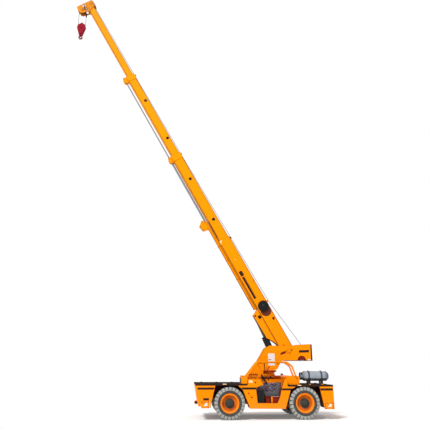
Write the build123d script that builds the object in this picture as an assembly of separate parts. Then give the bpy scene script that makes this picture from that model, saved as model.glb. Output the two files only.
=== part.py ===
from build123d import *
import os
from math import atan2, cos, degrees, hypot, radians, sin

# Carry deck crane in millimetres.
# +X is forward, +Y is the operator's side, +Z is up, and the origin is on the ground
# under the slewing centre.

# Clearances
SEAT_GAP = 0.3
SHAFT_GAP = 0.06
PIN_GAP = 2
CUT = 1

# Axles
FRONT_AXLE_X = 1392
REAR_AXLE_X = -1053
WHEELBASE = FRONT_AXLE_X - REAR_AXLE_X

# Carrier body
BODY_HALF = 1100
PLATE = 12
SHEET = 6
NOSE_TOP_X = FRONT_AXLE_X + 1123
NOSE_LOW_X = NOSE_TOP_X - 115
NOSE_LOW_Z = 415
TAIL_X = REAR_AXLE_X - 961
TAIL_LOW_Z = 315
SILL_Z = 350
SILL_FRONT_X = FRONT_AXLE_X + 598
SILL_REAR_X = REAR_AXLE_X - 627
FRONT_DECK_Z = 1100
REAR_DECK_Z = FRONT_DECK_Z - 40
DECK = 30
DECK_MIDDLE = 20
CAB_FRONT_X = FRONT_AXLE_X - 622
CAB_REAR_X = REAR_AXLE_X + 612
CAB_LENGTH = CAB_FRONT_X - CAB_REAR_X
DECK_CAB_X = CAB_FRONT_X + 41
DECK_REAR_X = CAB_REAR_X - 59
PANEL_RISE = 125
PANEL_TOP_Z = FRONT_DECK_Z + PANEL_RISE
PANEL_FRONT_X = DECK_CAB_X - 18
OUTLINE_R = 40
INSIDE = BODY_HALF - PLATE

# Wheels
TYRE_R = 500
TYRE_WIDTH = 280
SHOULDER_DROP = 45
SHOULDER_IN = 25
SIDE_WALL_R = 400
WHEEL_Y = BODY_HALF - 115
RIM_R = 262
RIM_LIP = 38
RIM_WALL = 8
RIM_DISH_R = 205
DISC_IN = 92
DISC_THICK = 16
HUB_R = 150
HUB_BARREL_R = 120
HUB_CAP_R = 100
HUB_END_R = 60
HUB_FLANGE = 40
HUB_END_IN = 14
SPINDLE_R = 45
SPINDLE_REACH = 75
SPINDLE_ROOT_R = 62
BRAKE_R = 92
BRAKE_THICK = 20
HUB_BACK = 60

# Axles and steering knuckles
KINGPIN_Y = WHEEL_Y - 170
KINGPIN_R = 20
AXLE_TUBE_R = 70
AXLE_END_IN = 60
DIFFERENTIAL_R = 165
DIFFERENTIAL_NECK_R = 95
DIFFERENTIAL_HALF = 150
DIFFERENTIAL_FACE = 70
FORK_HALF_GAP = 100
FORK_THICK = 30
KNUCKLE_R = 44
SPRING_SEAT = 140
SPRING_SEAT_W = 100

# Wheel arches
ARCH_ROOF = 18
ARCH_DEPTH = 485
ARCH_SKIRT = 70
ARCH_LOW_Z = 290
ARCH_BACK_Z = 640

# Chassis rails
RAIL_Y = BODY_HALF - 720
RAIL_W = 120
RAIL_TOP_Z = 860
RAIL_DEEP = 220
RAIL_LOW_Z = RAIL_TOP_Z - RAIL_DEEP
CROSS_W = 100
CROSS_X = [REAR_AXLE_X - 447, DECK_REAR_X - 60, CAB_FRONT_X - 210, FRONT_AXLE_X + 488]
BEARER_W = 80
BEARER_H = 60
BEARER_X = [CAB_REAR_X + 141, CAB_FRONT_X - 350]

# Outriggers, which slide out and down in oblique tubes
LEG_ANGLE = 28
LEG_W = 168
LEG_H = 138
LEG_WALL = 10
TUBE_WALL = 10
TUBE_IN = 160
LEG_SOLID = 60
LEG_END_Y = BODY_HALF - 55
LEG_IN_Y = 83
LEG_LENGTH = (LEG_END_Y - LEG_IN_Y) / cos(radians(LEG_ANGLE))
TUBE_LENGTH = LEG_LENGTH - 130
LEG_RISE = 97
FRONT_LEG_X = FRONT_AXLE_X + 780
REAR_LEG_X = REAR_AXLE_X - 797
FRONT_FOOT_Z = 360
REAR_FOOT_Z = 315
FOOT_LENGTH = 260
FOOT_H = 175
FOOT_W = 139
FOOT_IN = 6
FOOT_BEVEL = 30
FOOT_BEVEL_H = 60
NOTCH_GAP = 10
CROSS_PLATE_RISE = 70
CROSS_PLATE_STEP = 30
CROSS_PLATE_IN = 40

# Cab, which hangs between the left side plate and the middle deck
CAB_FLOOR_Z = 490
CAB_WIDTH = 500
CAB_INNER_Y = BODY_HALF - CAB_WIDTH
CAB_CORNER_R = 22
DASH_TOP_Z = PANEL_TOP_Z + 20
DASH_REAR_X = CAB_FRONT_X - 0.24 * CAB_LENGTH
DASH_LOW_Z = 900
LEVER_X = CAB_FRONT_X - 35
LEVER_Y = CAB_INNER_Y + 90
LEVER_STEP_X = 0.04 * CAB_LENGTH
LEVER_STEP_Y = 80
LEVER_COUNT = 5
LEVER_LENGTH = 160
LEVER_R = 8
LEVER_TILT = -25
KNOB_R = 20
CONSOLE_REAR_X = CAB_REAR_X + 0.59 * CAB_LENGTH
CONSOLE_FRONT_X = CAB_REAR_X + 0.777 * CAB_LENGTH
CONSOLE_Y = BODY_HALF - 195
CONSOLE_TOP_Z = 872
SEAT_Z = 710
SEAT_BASE_X = (CAB_REAR_X + 0.162 * CAB_LENGTH, CAB_REAR_X + 0.397 * CAB_LENGTH)
SEAT_BASE_Y = (CAB_INNER_Y + 90, CAB_INNER_Y + 400)
CUSHION_Y = (CAB_INNER_Y + 40, CAB_INNER_Y + 450)
CUSHION_REAR_X = CAB_REAR_X + 0.24 * CAB_LENGTH
CUSHION_FRONT_X = CAB_REAR_X + 0.566 * CAB_LENGTH
CUSHION_THICK = 112
BACK_INSET = 5
BACK_TOP_Z = SEAT_Z + 455
BACK_TOP_X = SEAT_BASE_X[0] - 85
COLUMN_TOP = (CAB_REAR_X + 0.55 * CAB_LENGTH, CAB_INNER_Y + 235, FRONT_DECK_Z + 135)
COLUMN_TILT = 58
COLUMN_R = 28
COLUMN_SHAFT_R = 12
COLUMN_BARE = 50
WHEEL_RING_R = 170
WHEEL_GRIP_R = 13
WHEEL_BOSS_R = 34
WHEEL_BOSS = 30
SPOKE_W = 22
SPOKE_THICK = 8

# Cowls, hood and hydraulic tank
COWL_REAR_X = DECK_CAB_X + 2
COWL_FRONT_X = COWL_REAR_X + 197
COWL_H = 185
COWL_TOP_Z = FRONT_DECK_Z + COWL_H
COWL_IN = 20
COWL_SIDE_IN = 10
COWL_ROUND = 20
HOOD_H = 270
HOOD_TOP_Z = REAR_DECK_Z + HOOD_H
HOOD_SHELL = 8
HOOD_ROUND = 40
HOOD_OVER_DECK = 20
HOOD_FRONT_GAP = 3
TANK_BOX_X = DECK_REAR_X - 430
TANK_BOX_Y = BODY_HALF - 100
TANK_BOX_ROUND = 35
TANK_BOX_IN = 2
FILLER_R = 45
FILLER_H = 30
ENGINE_X = (CAB_REAR_X + 101, CAB_FRONT_X - 310)
ENGINE_Y = (-BODY_HALF + 100, -CAB_INNER_Y - 40)
ENGINE_TOP_Z = 1180
LAMP_IN = 120
LAMP_BELOW = 90
LAMP_R = 70
LAMP_DEEP = 34
LOUVRE_X = (CAB_REAR_X + 111, CAB_FRONT_X - 170)
LOUVRE_Z = 700
LOUVRE_W = 180
LOUVRE_H = 16
LOUVRE_STEP_X = 250
LOUVRE_STEP_Z = 45
LOUVRE_ROWS = 5

# Tube guard over the cab
GUARD_R = 27
GUARD_OUT_Y = BODY_HALF - 50
GUARD_IN_Y = CAB_INNER_Y + 20
GUARD_RISE = 483
GUARD_TOP_Z = COWL_TOP_Z + GUARD_RISE
GUARD_FRONT_X = CAB_FRONT_X + 85
GUARD_BEND_X = CAB_REAR_X + 0.74 * CAB_LENGTH
GUARD_REAR_X = CAB_REAR_X - 359
GUARD_BEND = 90
GUARD_FOOT = 35
GUARD_FOOT_THICK = 12
GUARD_BAR_R = 16
GUARD_BARS = [CAB_REAR_X + share * CAB_LENGTH for share in (0.72, 0.48, 0.232, -0.024)]
SCREEN_REAR_X = CAB_REAR_X + 0.533 * CAB_LENGTH
SCREEN_THICK = 6

# Gas tank on the rear deck
GAS_R = 155
GAS_Y = BODY_HALF - 300
GAS_RISE = 270
GAS_Z = REAR_DECK_Z + GAS_RISE
GAS_FRONT_X = TANK_BOX_X - 55
GAS_REAR_X = GAS_FRONT_X - 960
GAS_END = 70
GAS_DOME = 60
GAS_COLLAR = 110
GAS_VALVE_R = 30
STRAP_W = 50
STRAP_THICK = 5
SADDLE_W = 70
SADDLE_HALF = 150
SADDLE_BELOW = 60
SADDLE_X = [GAS_FRONT_X - 290, GAS_REAR_X + 250]

# Tow eye
TOW_EYE_OUT = 48
TOW_EYE_Z = 475
TOW_EYE_R = 60
TOW_BORE_R = 27
TOW_THICK = 40
TOW_SHANK_HALF = 50

# Slewing pedestal and turret
PEDESTAL_TOP_Z = REAR_DECK_Z + 275
PEDESTAL_R = 200
PEDESTAL_FOOT_R = 300
PEDESTAL_FOOT = 40
PEDESTAL_BASE = 20
DECK_HOLE_GAP = 20
RING_R = 290
RING_H = 60
CONE_R = 250
SLEW_MOTOR_R = 58
SLEW_MOTOR_Y = -(RING_R + SLEW_MOTOR_R + 5)
TABLE_R = 350
TABLE_RISE = 165
TABLE_Z = PEDESTAL_TOP_Z + TABLE_RISE
TABLE_THICK = 30
TURRET_PLATE = 20
TURRET_SHEET = 14
TURRET_IN_Y = 182
PIVOT_X = -780
PIVOT_Z = TABLE_Z + 650
PIVOT_R = 45
PIVOT_BOSS_R = 85
PIVOT_BOSS = 14
LIFT_BASE_X = -370
LIFT_BASE_Z = TABLE_Z + 280
LIFT_PIN_R = 32
LIFT_BOSS_R = 62
TAIL_END_X = -1563
TAIL_TOP_Z = TABLE_Z + 884
TAIL_FLOOR_Z = TABLE_Z + 329
BUMPER = 48
WINCH_X = -1234
WINCH_Z = TABLE_Z + 485
WINCH_FLANGE_R = 138
WINCH_FLANGE = 14
WINCH_DRUM_R = 95
WINCH_HOLE_R = 145
WINCH_HOLE_Z = TABLE_Z + 350
WINCH_MOTOR_R = 72
WINCH_MOTOR = 110

# Boom, drawn level with its pivot at zero and then raised
BOOM_ANGLE = 61
BASE_REAR = -150
CORNER_R = 18
LIFT_PIN_ALONG = 1620
LIFT_PIN_BELOW = 405
BRACKET_Y = 122
BRACKET_PLATE = 20
BOOM_BOSS_R = 95
BOOM_END_PLATE = 12
COLLAR_LENGTH = 260
COLLAR_THICK = 12
LUG_BELOW = 335
LUG_LENGTH = 60
LUG_HALF = 60
ROD_BELOW = 277
BARREL_R = 50
BARREL_BORE = 42
STAGE_1_R = 38
STAGE_1_BORE = 29
STAGE_2_R = 25
BARREL_REAR = 1820
BARREL_AHEAD = 840
BARREL_END = 100
BARREL_BLIND = 40
STAGE_1_TAIL = 350
STAGE_2_TAIL = 400
ROD_NUT = 20
TRAY_HALF = 70
TRAY_DEEP = 22
GLAND_HALF = 75
PAD_LENGTH = 160
PAD_IN = 10
REEL_ALONG = 1784
REEL_ABOVE = 24
REEL_R = 198
REEL_FLANGE = 22
REEL_CORE_R = 180
REEL_CORE = 60
GUIDE_ALONG = 1875
GUIDE_ABOVE = 318
GUIDE_R = 34
GUIDE_HALF = 45
GUIDE_EAR = 10
GUIDE_EAR_HALF = 55

# name, depth, width, wall, length kept inside the section before it, reach past that one's tip
SECTION_SIZES = [
    ("boom_base", 450, 340, 10, -BASE_REAR, 4660),
    ("boom_section_2", 395, 290, 9, 760, 3940),
    ("boom_section_3", 335, 240, 8, 750, 4090),
    ("boom_section_4", 270, 190, 7, 790, 3880),
]

# name, depth, width, wall, rear station, tip station
SECTIONS = []
station = 0
for name, depth, width, wall, kept, reach in SECTION_SIZES:
    SECTIONS.append((name, depth, width, wall, station - kept, station + reach))
    station += reach
BARREL_TIP = SECTIONS[0][5] + BARREL_AHEAD

# Head, falls and hook block
HEAD_PLATE = 14
SHEAVE_ALONG = station + 30
SHEAVE_BELOW = 370
SHEAVE_R = 160
GROOVE_R = 148
SHEAVE_PIN_R = 28
SHEAVE_HALF = 22
SHEAVE_LIP = 7
GROOVE_HALF = 9
TOP_SHEAVE_ALONG = SHEAVE_ALONG + 100
TOP_SHEAVE_ABOVE = 62
TOP_SHEAVE_R = 112
TOP_GROOVE_R = 98
TOP_PIN_R = 22
HEAD_BAR_ALONG = SHEAVE_ALONG + 205
HEAD_BAR_BELOW = SHEAVE_BELOW - 150
HEAD_BAR_R = 20
HEAD_BOSS_R = 60
HEAD_BOSS = 10
PIN_HEAD = 14
ROPE_R = 8
FALL_LENGTH = 900
SOCKET_R = 24
SOCKET_TOP = 100
SOCKET_LENGTH = 190
CHEEK = 16
CHEEK_GAP = 26
BLOCK_PIN_R = 25
BLOCK_TAIL = 392
BLOCK_HALF = 188
BLOCK_LUG = 262
BLOCK_LUG_HALF = 38
YOKE_H = 90
YOKE_HALF = 70
SWIVEL_R = 22
HOOK_DROP = 486
HOOK_BOWL_R = 44
HOOK_BACK_R = 88
HOOK_THICK = 46
HOOK_COLLAR_R = 34

# Lift cylinder
LIFT_BARREL_R = 110
LIFT_WALL = 16
LIFT_BARREL_START = 95
LIFT_HEAD_START = 125
LIFT_BARREL_LENGTH = 950
LIFT_GLAND = 60
LIFT_EYE_R = 70
LIFT_EYE_HALF = 75
LIFT_ROD_R = 50
LIFT_PISTON_AT = LIFT_BARREL_LENGTH - LIFT_GLAND - 170
LIFT_PISTON = 35
LIFT_ROD_EYE_R = 60
LIFT_ROD_EYE_HALF = 55
LIFT_PIN_IN = 4

AXLES = [("front", FRONT_AXLE_X), ("rear", REAR_AXLE_X)]
SIDES = [("left", 1), ("right", -1)]
LEGS = [("front", FRONT_LEG_X, FRONT_FOOT_Z), ("rear", REAR_LEG_X, REAR_FOOT_Z)]


def block(x0, x1, y0, y1, z0, z1):
    size = Box(x1 - x0, y1 - y0, z1 - z0)
    return Pos((x0 + x1) / 2, (y0 + y1) / 2, (z0 + z1) / 2) * size


def rod_y(x, z, radius, y0, y1):
    return Pos(x, (y0 + y1) / 2, z) * Rot(90, 0, 0) * Cylinder(radius, y1 - y0)


def rod_x(y, z, radius, x0, x1):
    return Pos((x0 + x1) / 2, y, z) * Rot(0, 90, 0) * Cylinder(radius, x1 - x0)


def rod_z(x, y, radius, z0, z1):
    return Pos(x, y, (z0 + z1) / 2) * Cylinder(radius, z1 - z0)


def both_y(y0, y1):
    """A span of y and its mirror image on the other side."""
    return (y0, y1), (-y1, -y0)


def plate_xz(points, y0, y1, radius=0):
    """A plate cut to an outline of (x, z) points, between two values of y."""
    line = FilletPolyline(*points, radius=radius, close=True) if radius else Polyline(*points, close=True)
    plane = Plane(origin=(0, y1, 0), x_dir=(1, 0, 0), z_dir=(0, -1, 0))
    return extrude(plane * make_face(line), amount=y1 - y0)


def plate_yz(points, x0, x1):
    """A plate cut to an outline of (y, z) points, between two values of x."""
    plane = Plane(origin=(x0, 0, 0), x_dir=(0, 1, 0), z_dir=(1, 0, 0))
    return extrude(plane * make_face(Polyline(*points, close=True)), amount=x1 - x0)


def turned_y(points, x, z):
    """A solid turned about an axis along Y, from (radius, y) points."""
    return Pos(x, 0, z) * revolve(make_face(Polyline(*points, close=True)), axis=Axis.Y)


def turned_z(points, x=0, y=0):
    """A solid turned about an axis along Z, from (radius, z) points."""
    profile = Plane.XZ * make_face(Polyline(*points, close=True))
    return Pos(x, y, 0) * revolve(profile, axis=Axis.Z)


def turned_x(points, y, z):
    """A solid turned about an axis along X, from (x, radius) points."""
    return Pos(0, y, z) * revolve(make_face(Polyline(*points, close=True)), axis=Axis.X)


def pipe(points, radius, bend):
    """A bent round bar along (x, y, z) points."""
    path = FilletPolyline(*points, radius=bend)
    start = Plane(origin=path @ 0, z_dir=path % 0)
    return sweep(start * Circle(radius), path=path)


def flip_y(shape):
    return mirror(shape, about=Plane.XZ)


def save(name, *shapes):
    solids = []
    for shape in shapes:
        solids.extend(shape.solids())
    export_step(Compound(children=solids), f"parts/{name}.step")


FRONT_ROOF_Z = FRONT_DECK_Z - DECK - ARCH_ROOF
REAR_ROOF_Z = REAR_DECK_Z - DECK - ARCH_ROOF

# The cut-outs of the side plates, as (x from the axle, z) points from the foot behind the wheel to the one before it
FRONT_OPENING = [(-645, ARCH_LOW_Z), (-645, 370), (-432, 901), (-262, FRONT_ROOF_Z), (467, FRONT_ROOF_Z),
                 (606, 481), (606, ARCH_LOW_Z)]
REAR_OPENING = [(-635, ARCH_LOW_Z), (-635, 353), (-507, REAR_ROOF_Z), (273, REAR_ROOF_Z), (453, 900),
                (632, 358), (632, ARCH_LOW_Z)]

# The liners behind them, in the same points, with room for a wheel at full lock
FRONT_LINER = [(-645, ARCH_LOW_Z), (-645, 370), (-609, 484), (-582, 640), (-524, 780), (-438, 901),
               (-262, FRONT_ROOF_Z), (467, FRONT_ROOF_Z), (558, 720), (592, 600), (606, 481), (606, ARCH_LOW_Z)]
REAR_LINER = [(-635, ARCH_LOW_Z), (-635, 353), (-507, REAR_ROOF_Z), (273, REAR_ROOF_Z), (456, 900), (512, 805),
              (562, 700), (586, 620), (604, 480), (632, 358), (632, ARCH_LOW_Z)]
ARCHES = [(FRONT_AXLE_X, FRONT_OPENING, FRONT_LINER), (REAR_AXLE_X, REAR_OPENING, REAR_LINER)]

# The operator's way in, as (share of the cab's length, z) points of the left side plate's cut-out
CAB_SHARES = [(0.6466, PANEL_TOP_Z + 50), (0.6466, PANEL_TOP_Z), (0.5987, FRONT_DECK_Z - 42),
              (0.7993, FRONT_DECK_Z - 130), (0.8002, FRONT_DECK_Z - 169), (0.7671, CAB_FLOOR_Z + 16),
              (0.237, CAB_FLOOR_Z + 14), (0.1701, CAB_FLOOR_Z + 197), (0.1082, FRONT_DECK_Z - 132),
              (0.0206, PANEL_TOP_Z + 50)]
CAB_OPENING = [(CAB_REAR_X + share * CAB_LENGTH, z) for share, z in CAB_SHARES]

# The side plate's whole outline, as (x, z) points
BODY_SIDE = [(NOSE_TOP_X, FRONT_DECK_Z - DECK), (NOSE_LOW_X, NOSE_LOW_Z), (SILL_FRONT_X + 20, NOSE_LOW_Z - 15),
             (SILL_FRONT_X, SILL_Z), (SILL_REAR_X, SILL_Z - 30), (TAIL_X, TAIL_LOW_Z),
             (TAIL_X, REAR_DECK_Z - DECK), (DECK_REAR_X, REAR_DECK_Z - DECK), (DECK_REAR_X, PANEL_TOP_Z),
             (PANEL_FRONT_X, PANEL_TOP_Z), (PANEL_FRONT_X, FRONT_DECK_Z - DECK)]


def from_axle(axle_x, points):
    return [(axle_x + x, z) for x, z in points]


def foot_notch(leg_x, foot_z):
    half = FOOT_LENGTH / 2 + NOTCH_GAP
    return block(leg_x - half, leg_x + half, -BODY_HALF - CUT, BODY_HALF + CUT, foot_z - FOOT_H,
                 foot_z + FOOT_H + NOTCH_GAP)


def louvres():
    """Rows of slots that let the engine's air out through the right side plate."""
    slots = []
    for row in range(LOUVRE_ROWS):
        z = LOUVRE_Z + row * LOUVRE_STEP_Z
        x = LOUVRE_X[0]
        while x + LOUVRE_W <= LOUVRE_X[1]:
            slots.append(block(x, x + LOUVRE_W, INSIDE - CUT, BODY_HALF + CUT, z, z + LOUVRE_H))
            x += LOUVRE_STEP_X
    return slots


def make_side_plates():
    side = plate_xz(BODY_SIDE, INSIDE, BODY_HALF)
    for axle_x, opening, _ in ARCHES:
        side -= plate_xz(from_axle(axle_x, opening), INSIDE - CUT, BODY_HALF + CUT, OUTLINE_R)
    for _, leg_x, foot_z in LEGS:
        side -= foot_notch(leg_x, foot_z)
    right = side
    for slot in louvres():
        right -= slot
    save("side_plate_right", flip_y(right))
    save("side_plate_left", side - plate_xz(CAB_OPENING, INSIDE - CUT, BODY_HALF + CUT, CAB_CORNER_R))


def arch_liner(outline, side):
    """A bent sheet that follows an arch, with a back wall above the axle, open below and towards the wheel."""
    face = make_face(FilletPolyline(*outline, radius=OUTLINE_R / 2, close=True))
    grown = offset(face, amount=SHEET, kind=Kind.INTERSECTION)
    middle = (outline[0][0] + outline[-1][0]) / 2
    skirt = Pos(middle, ARCH_LOW_Z) * Rectangle(WHEELBASE, 2 * ARCH_SKIRT)
    low = Pos(middle, ARCH_BACK_Z - WHEELBASE / 2) * Rectangle(WHEELBASE, WHEELBASE)
    plane = Plane(origin=(0, INSIDE, 0), x_dir=(1, 0, 0), z_dir=(0, -1, 0))
    back = Plane(origin=(0, INSIDE - ARCH_DEPTH + SHEET, 0), x_dir=(1, 0, 0), z_dir=(0, -1, 0))
    liner = extrude(plane * (grown - face - skirt), amount=ARCH_DEPTH)
    liner += extrude(back * (grown - low), amount=SHEET)
    return liner if side > 0 else flip_y(liner)


def make_arches():
    save("wheel_arches", *[arch_liner(from_axle(axle_x, liner), side)
                           for axle_x, _, liner in ARCHES for _, side in SIDES])


def nose_x(z):
    """Where the sloping nose stands at a height."""
    share = (z - NOSE_LOW_Z) / (FRONT_DECK_Z - DECK - NOSE_LOW_Z)
    return NOSE_LOW_X + share * (NOSE_TOP_X - NOSE_LOW_X)


def tow_eye():
    half = TOW_THICK / 2
    low, high = TOW_EYE_Z - TOW_SHANK_HALF, TOW_EYE_Z + TOW_SHANK_HALF
    x = nose_x(TOW_EYE_Z) + TOW_EYE_OUT
    root = nose_x(low) - PLATE / 2
    shank = plate_xz([(root, low), (root, high), (x, high), (x, low)], -half, half)
    eye = rod_y(x, TOW_EYE_Z, TOW_EYE_R, -half, half) + shank
    return eye - rod_y(x, TOW_EYE_Z, TOW_BORE_R, -half - CUT, half + CUT)


def make_ends():
    slope = [(NOSE_TOP_X, FRONT_DECK_Z - DECK), (NOSE_LOW_X, NOSE_LOW_Z),
             (NOSE_LOW_X - PLATE, NOSE_LOW_Z), (NOSE_TOP_X - PLATE, FRONT_DECK_Z - DECK)]
    nose = plate_xz(slope, -INSIDE, INSIDE)
    tail = block(TAIL_X, TAIL_X + PLATE, -INSIDE, INSIDE, TAIL_LOW_Z, REAR_DECK_Z - DECK)
    save("end_plates", nose + tow_eye(), tail)


def make_decks():
    save("front_deck", block(DECK_CAB_X, NOSE_TOP_X, -BODY_HALF, BODY_HALF, FRONT_DECK_Z - DECK, FRONT_DECK_Z))
    rear = block(TAIL_X, DECK_REAR_X, -BODY_HALF, BODY_HALF, REAR_DECK_Z - DECK, REAR_DECK_Z)
    # The rear deck runs on past the pedestal between the cab and the engine bay
    rear += block(DECK_REAR_X - CUT, DECK_CAB_X, -CAB_INNER_Y, CAB_INNER_Y, REAR_DECK_Z - DECK_MIDDLE, REAR_DECK_Z)
    rear -= rod_z(0, 0, PEDESTAL_R + DECK_HOLE_GAP, RAIL_TOP_Z, PEDESTAL_TOP_Z)
    save("rear_deck", rear)


def leg_plane(side, leg_x, foot_z):
    """Local X runs out and down along the leg, from the point where it meets its foot."""
    a = radians(LEG_ANGLE)
    return Plane(origin=(leg_x, side * LEG_END_Y, foot_z + LEG_RISE),
                 x_dir=(0, side * cos(a), -sin(a)), z_dir=(0, side * sin(a), cos(a)))


def leg_tube(plane):
    """A square-cut tube that the leg slides in."""
    bore_w, bore_h = LEG_W + 2 * SEAT_GAP, LEG_H + 2 * SEAT_GAP
    middle = Pos(-TUBE_IN - TUBE_LENGTH / 2, 0, 0)
    tube = middle * Box(TUBE_LENGTH, bore_w + 2 * TUBE_WALL, bore_h + 2 * TUBE_WALL)
    return plane * (tube - middle * Box(TUBE_LENGTH + 2 * CUT, bore_w, bore_h))


def leg_and_foot(plane, side, leg_x, foot_z):
    leg = Pos(-LEG_LENGTH / 2, 0, 0) * Box(LEG_LENGTH, LEG_W, LEG_H)
    room = Box(LEG_LENGTH, LEG_W - 2 * LEG_WALL, LEG_H - 2 * LEG_WALL)
    leg -= Pos(-LEG_LENGTH / 2 - LEG_SOLID, 0, 0) * room
    outer = BODY_HALF - FOOT_IN
    inner = outer - FOOT_W
    outline = [(outer, foot_z), (outer, foot_z + FOOT_H), (inner + FOOT_BEVEL, foot_z + FOOT_H),
               (inner, foot_z + FOOT_H - FOOT_BEVEL_H), (inner, foot_z)]
    half = FOOT_LENGTH / 2
    return plate_yz([(side * y, z) for y, z in outline], leg_x - half, leg_x + half) + plane * leg


def leg_cross_plates(leg_x, foot_z):
    """Two plates that span the body and carry a pair of tubes between them."""
    top = (FRONT_DECK_Z if leg_x > 0 else REAR_DECK_Z) - DECK
    step_z, low_z = foot_z + FOOT_H + CROSS_PLATE_STEP, foot_z + CROSS_PLATE_RISE
    inner = BODY_HALF - FOOT_W - CROSS_PLATE_IN
    outline = [(INSIDE, top), (INSIDE, step_z), (inner, step_z), (inner, low_z),
               (-inner, low_z), (-inner, step_z), (-INSIDE, step_z), (-INSIDE, top)]
    gap = LEG_W / 2 + TUBE_WALL + SEAT_GAP
    return [plate_yz(outline, x0, x0 + PLATE) for x0 in (leg_x - gap - PLATE, leg_x + gap)]


def make_outriggers():
    boxes = Part()
    for name, leg_x, foot_z in LEGS:
        for side_name, side in SIDES:
            plane = leg_plane(side, leg_x, foot_z)
            boxes += leg_tube(plane)
            save(f"outrigger_{name}_{side_name}", leg_and_foot(plane, side, leg_x, foot_z))
        for plate in leg_cross_plates(leg_x, foot_z):
            boxes += plate
    save("outrigger_boxes", boxes)


def make_frame():
    leg_room = LEG_W / 2 + TUBE_WALL + 2 * SEAT_GAP + PLATE
    front_end, rear_end = FRONT_LEG_X - leg_room, REAR_LEG_X + leg_room
    rails = Part()
    for _, side in SIDES:
        low_y = side * RAIL_Y - RAIL_W / 2
        rails += block(rear_end, front_end, low_y, low_y + RAIL_W, RAIL_LOW_Z, RAIL_TOP_Z)
    for x in CROSS_X:
        rails += block(x - CROSS_W / 2, x + CROSS_W / 2, -RAIL_Y, RAIL_Y, RAIL_LOW_Z, RAIL_TOP_Z)
    # Bearers under the cab floor and the engine, each hung from its rail
    half, hanger, outer = BEARER_W / 2, RAIL_Y + BEARER_H, INSIDE - SEAT_GAP
    cab_top, engine_top = CAB_FLOOR_Z - SHEET, CAB_FLOOR_Z + BEARER_H
    for x in BEARER_X:
        rails += block(x - half, x + half, RAIL_Y, outer, cab_top - BEARER_H, cab_top)
        rails += block(x - half, x + half, RAIL_Y, hanger, cab_top - BEARER_H, RAIL_LOW_Z + CUT)
        rails += block(x - half, x + half, -outer, -RAIL_Y, engine_top - BEARER_H, engine_top)
        rails += block(x - half, x + half, -hanger, -RAIL_Y, engine_top - BEARER_H, RAIL_LOW_Z + CUT)
    save("chassis_frame", rails)


def make_axle(name, x):
    z = TYRE_R
    reach = KINGPIN_Y - AXLE_END_IN
    axle = rod_y(x, z, AXLE_TUBE_R, -reach, reach)
    axle += turned_y([(0, -DIFFERENTIAL_HALF), (DIFFERENTIAL_NECK_R, -DIFFERENTIAL_HALF),
                      (DIFFERENTIAL_R, -DIFFERENTIAL_FACE), (DIFFERENTIAL_R, DIFFERENTIAL_FACE),
                      (DIFFERENTIAL_NECK_R, DIFFERENTIAL_HALF), (0, DIFFERENTIAL_HALF)], x, z)
    fork = FORK_HALF_GAP + FORK_THICK
    for _, side in SIDES:
        # Spring seats that bolt up to the rails
        low_y = side * RAIL_Y - SPRING_SEAT_W / 2
        axle += block(x - SPRING_SEAT / 2, x + SPRING_SEAT / 2, low_y, low_y + SPRING_SEAT_W, z, RAIL_LOW_Z)
        fork_y = side * KINGPIN_Y
        y0, y1 = sorted((side * reach, fork_y))
        for low in (-fork, FORK_HALF_GAP):
            axle += block(x - KNUCKLE_R, x + KNUCKLE_R, y0, y1, z + low, z + low + FORK_THICK)
            axle += rod_z(x, fork_y, KNUCKLE_R, z + low, z + low + FORK_THICK)
        y0, y1 = sorted((side * (reach - FORK_THICK), side * reach))
        axle += block(x - KNUCKLE_R, x + KNUCKLE_R, y0, y1, z - fork, z + fork)
        axle -= rod_z(x, fork_y, KINGPIN_R + SHAFT_GAP, z - fork - CUT, z + fork + CUT)
    save(f"{name}_axle", axle)


def make_knuckle(name, x, side):
    z = TYRE_R
    height = FORK_HALF_GAP - SEAT_GAP
    pin_end = FORK_HALF_GAP + FORK_THICK + LIFT_PIN_IN
    body = rod_z(x, KINGPIN_Y, KNUCKLE_R, z - height, z + height)
    body += rod_z(x, KINGPIN_Y, KINGPIN_R, z - pin_end, z + pin_end)
    body += rod_y(x, z, SPINDLE_R, KINGPIN_Y, WHEEL_Y + SPINDLE_REACH)
    body += rod_y(x, z, SPINDLE_ROOT_R, KINGPIN_Y, WHEEL_Y - HUB_BACK)
    body += rod_y(x, z, BRAKE_R, WHEEL_Y - HUB_BACK - BRAKE_THICK, WHEEL_Y - HUB_BACK)
    save(f"knuckle_{name}", body if side > 0 else flip_y(body))


def tyre_solid(x):
    inner, outer = WHEEL_Y - TYRE_WIDTH / 2, WHEEL_Y + TYRE_WIDTH / 2
    shoulder, bead, flank = TYRE_R - SHOULDER_DROP, RIM_R + SEAT_GAP, RIM_R + RIM_LIP + 6
    half = [(bead, SHOULDER_IN), (flank, 12), (SIDE_WALL_R, 0), (shoulder, 0), (TYRE_R, SHOULDER_IN)]
    return turned_y([(r, inner + y) for r, y in half] + [(r, outer - y) for r, y in reversed(half)], x, TYRE_R)


def rim_solid(x):
    """A flanged band with a dished disc that meets the hub."""
    inner, outer = WHEEL_Y - TYRE_WIDTH / 2, WHEEL_Y + TYRE_WIDTH / 2
    bore, lip, disc = RIM_R - RIM_WALL, RIM_R + RIM_LIP, outer - DISC_IN
    half_disc = DISC_THICK / 2
    return turned_y([(bore, inner + RIM_WALL), (lip, inner + 2), (lip, inner + 10), (RIM_R, inner + 24),
                     (RIM_R, outer - 24), (lip, outer - 10), (lip, outer - 2), (bore, outer - RIM_WALL),
                     (RIM_DISH_R, disc), (HUB_R - 10, disc + half_disc), (HUB_R - 10, disc - half_disc),
                     (bore, disc - DISC_THICK)], x, TYRE_R)


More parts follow.
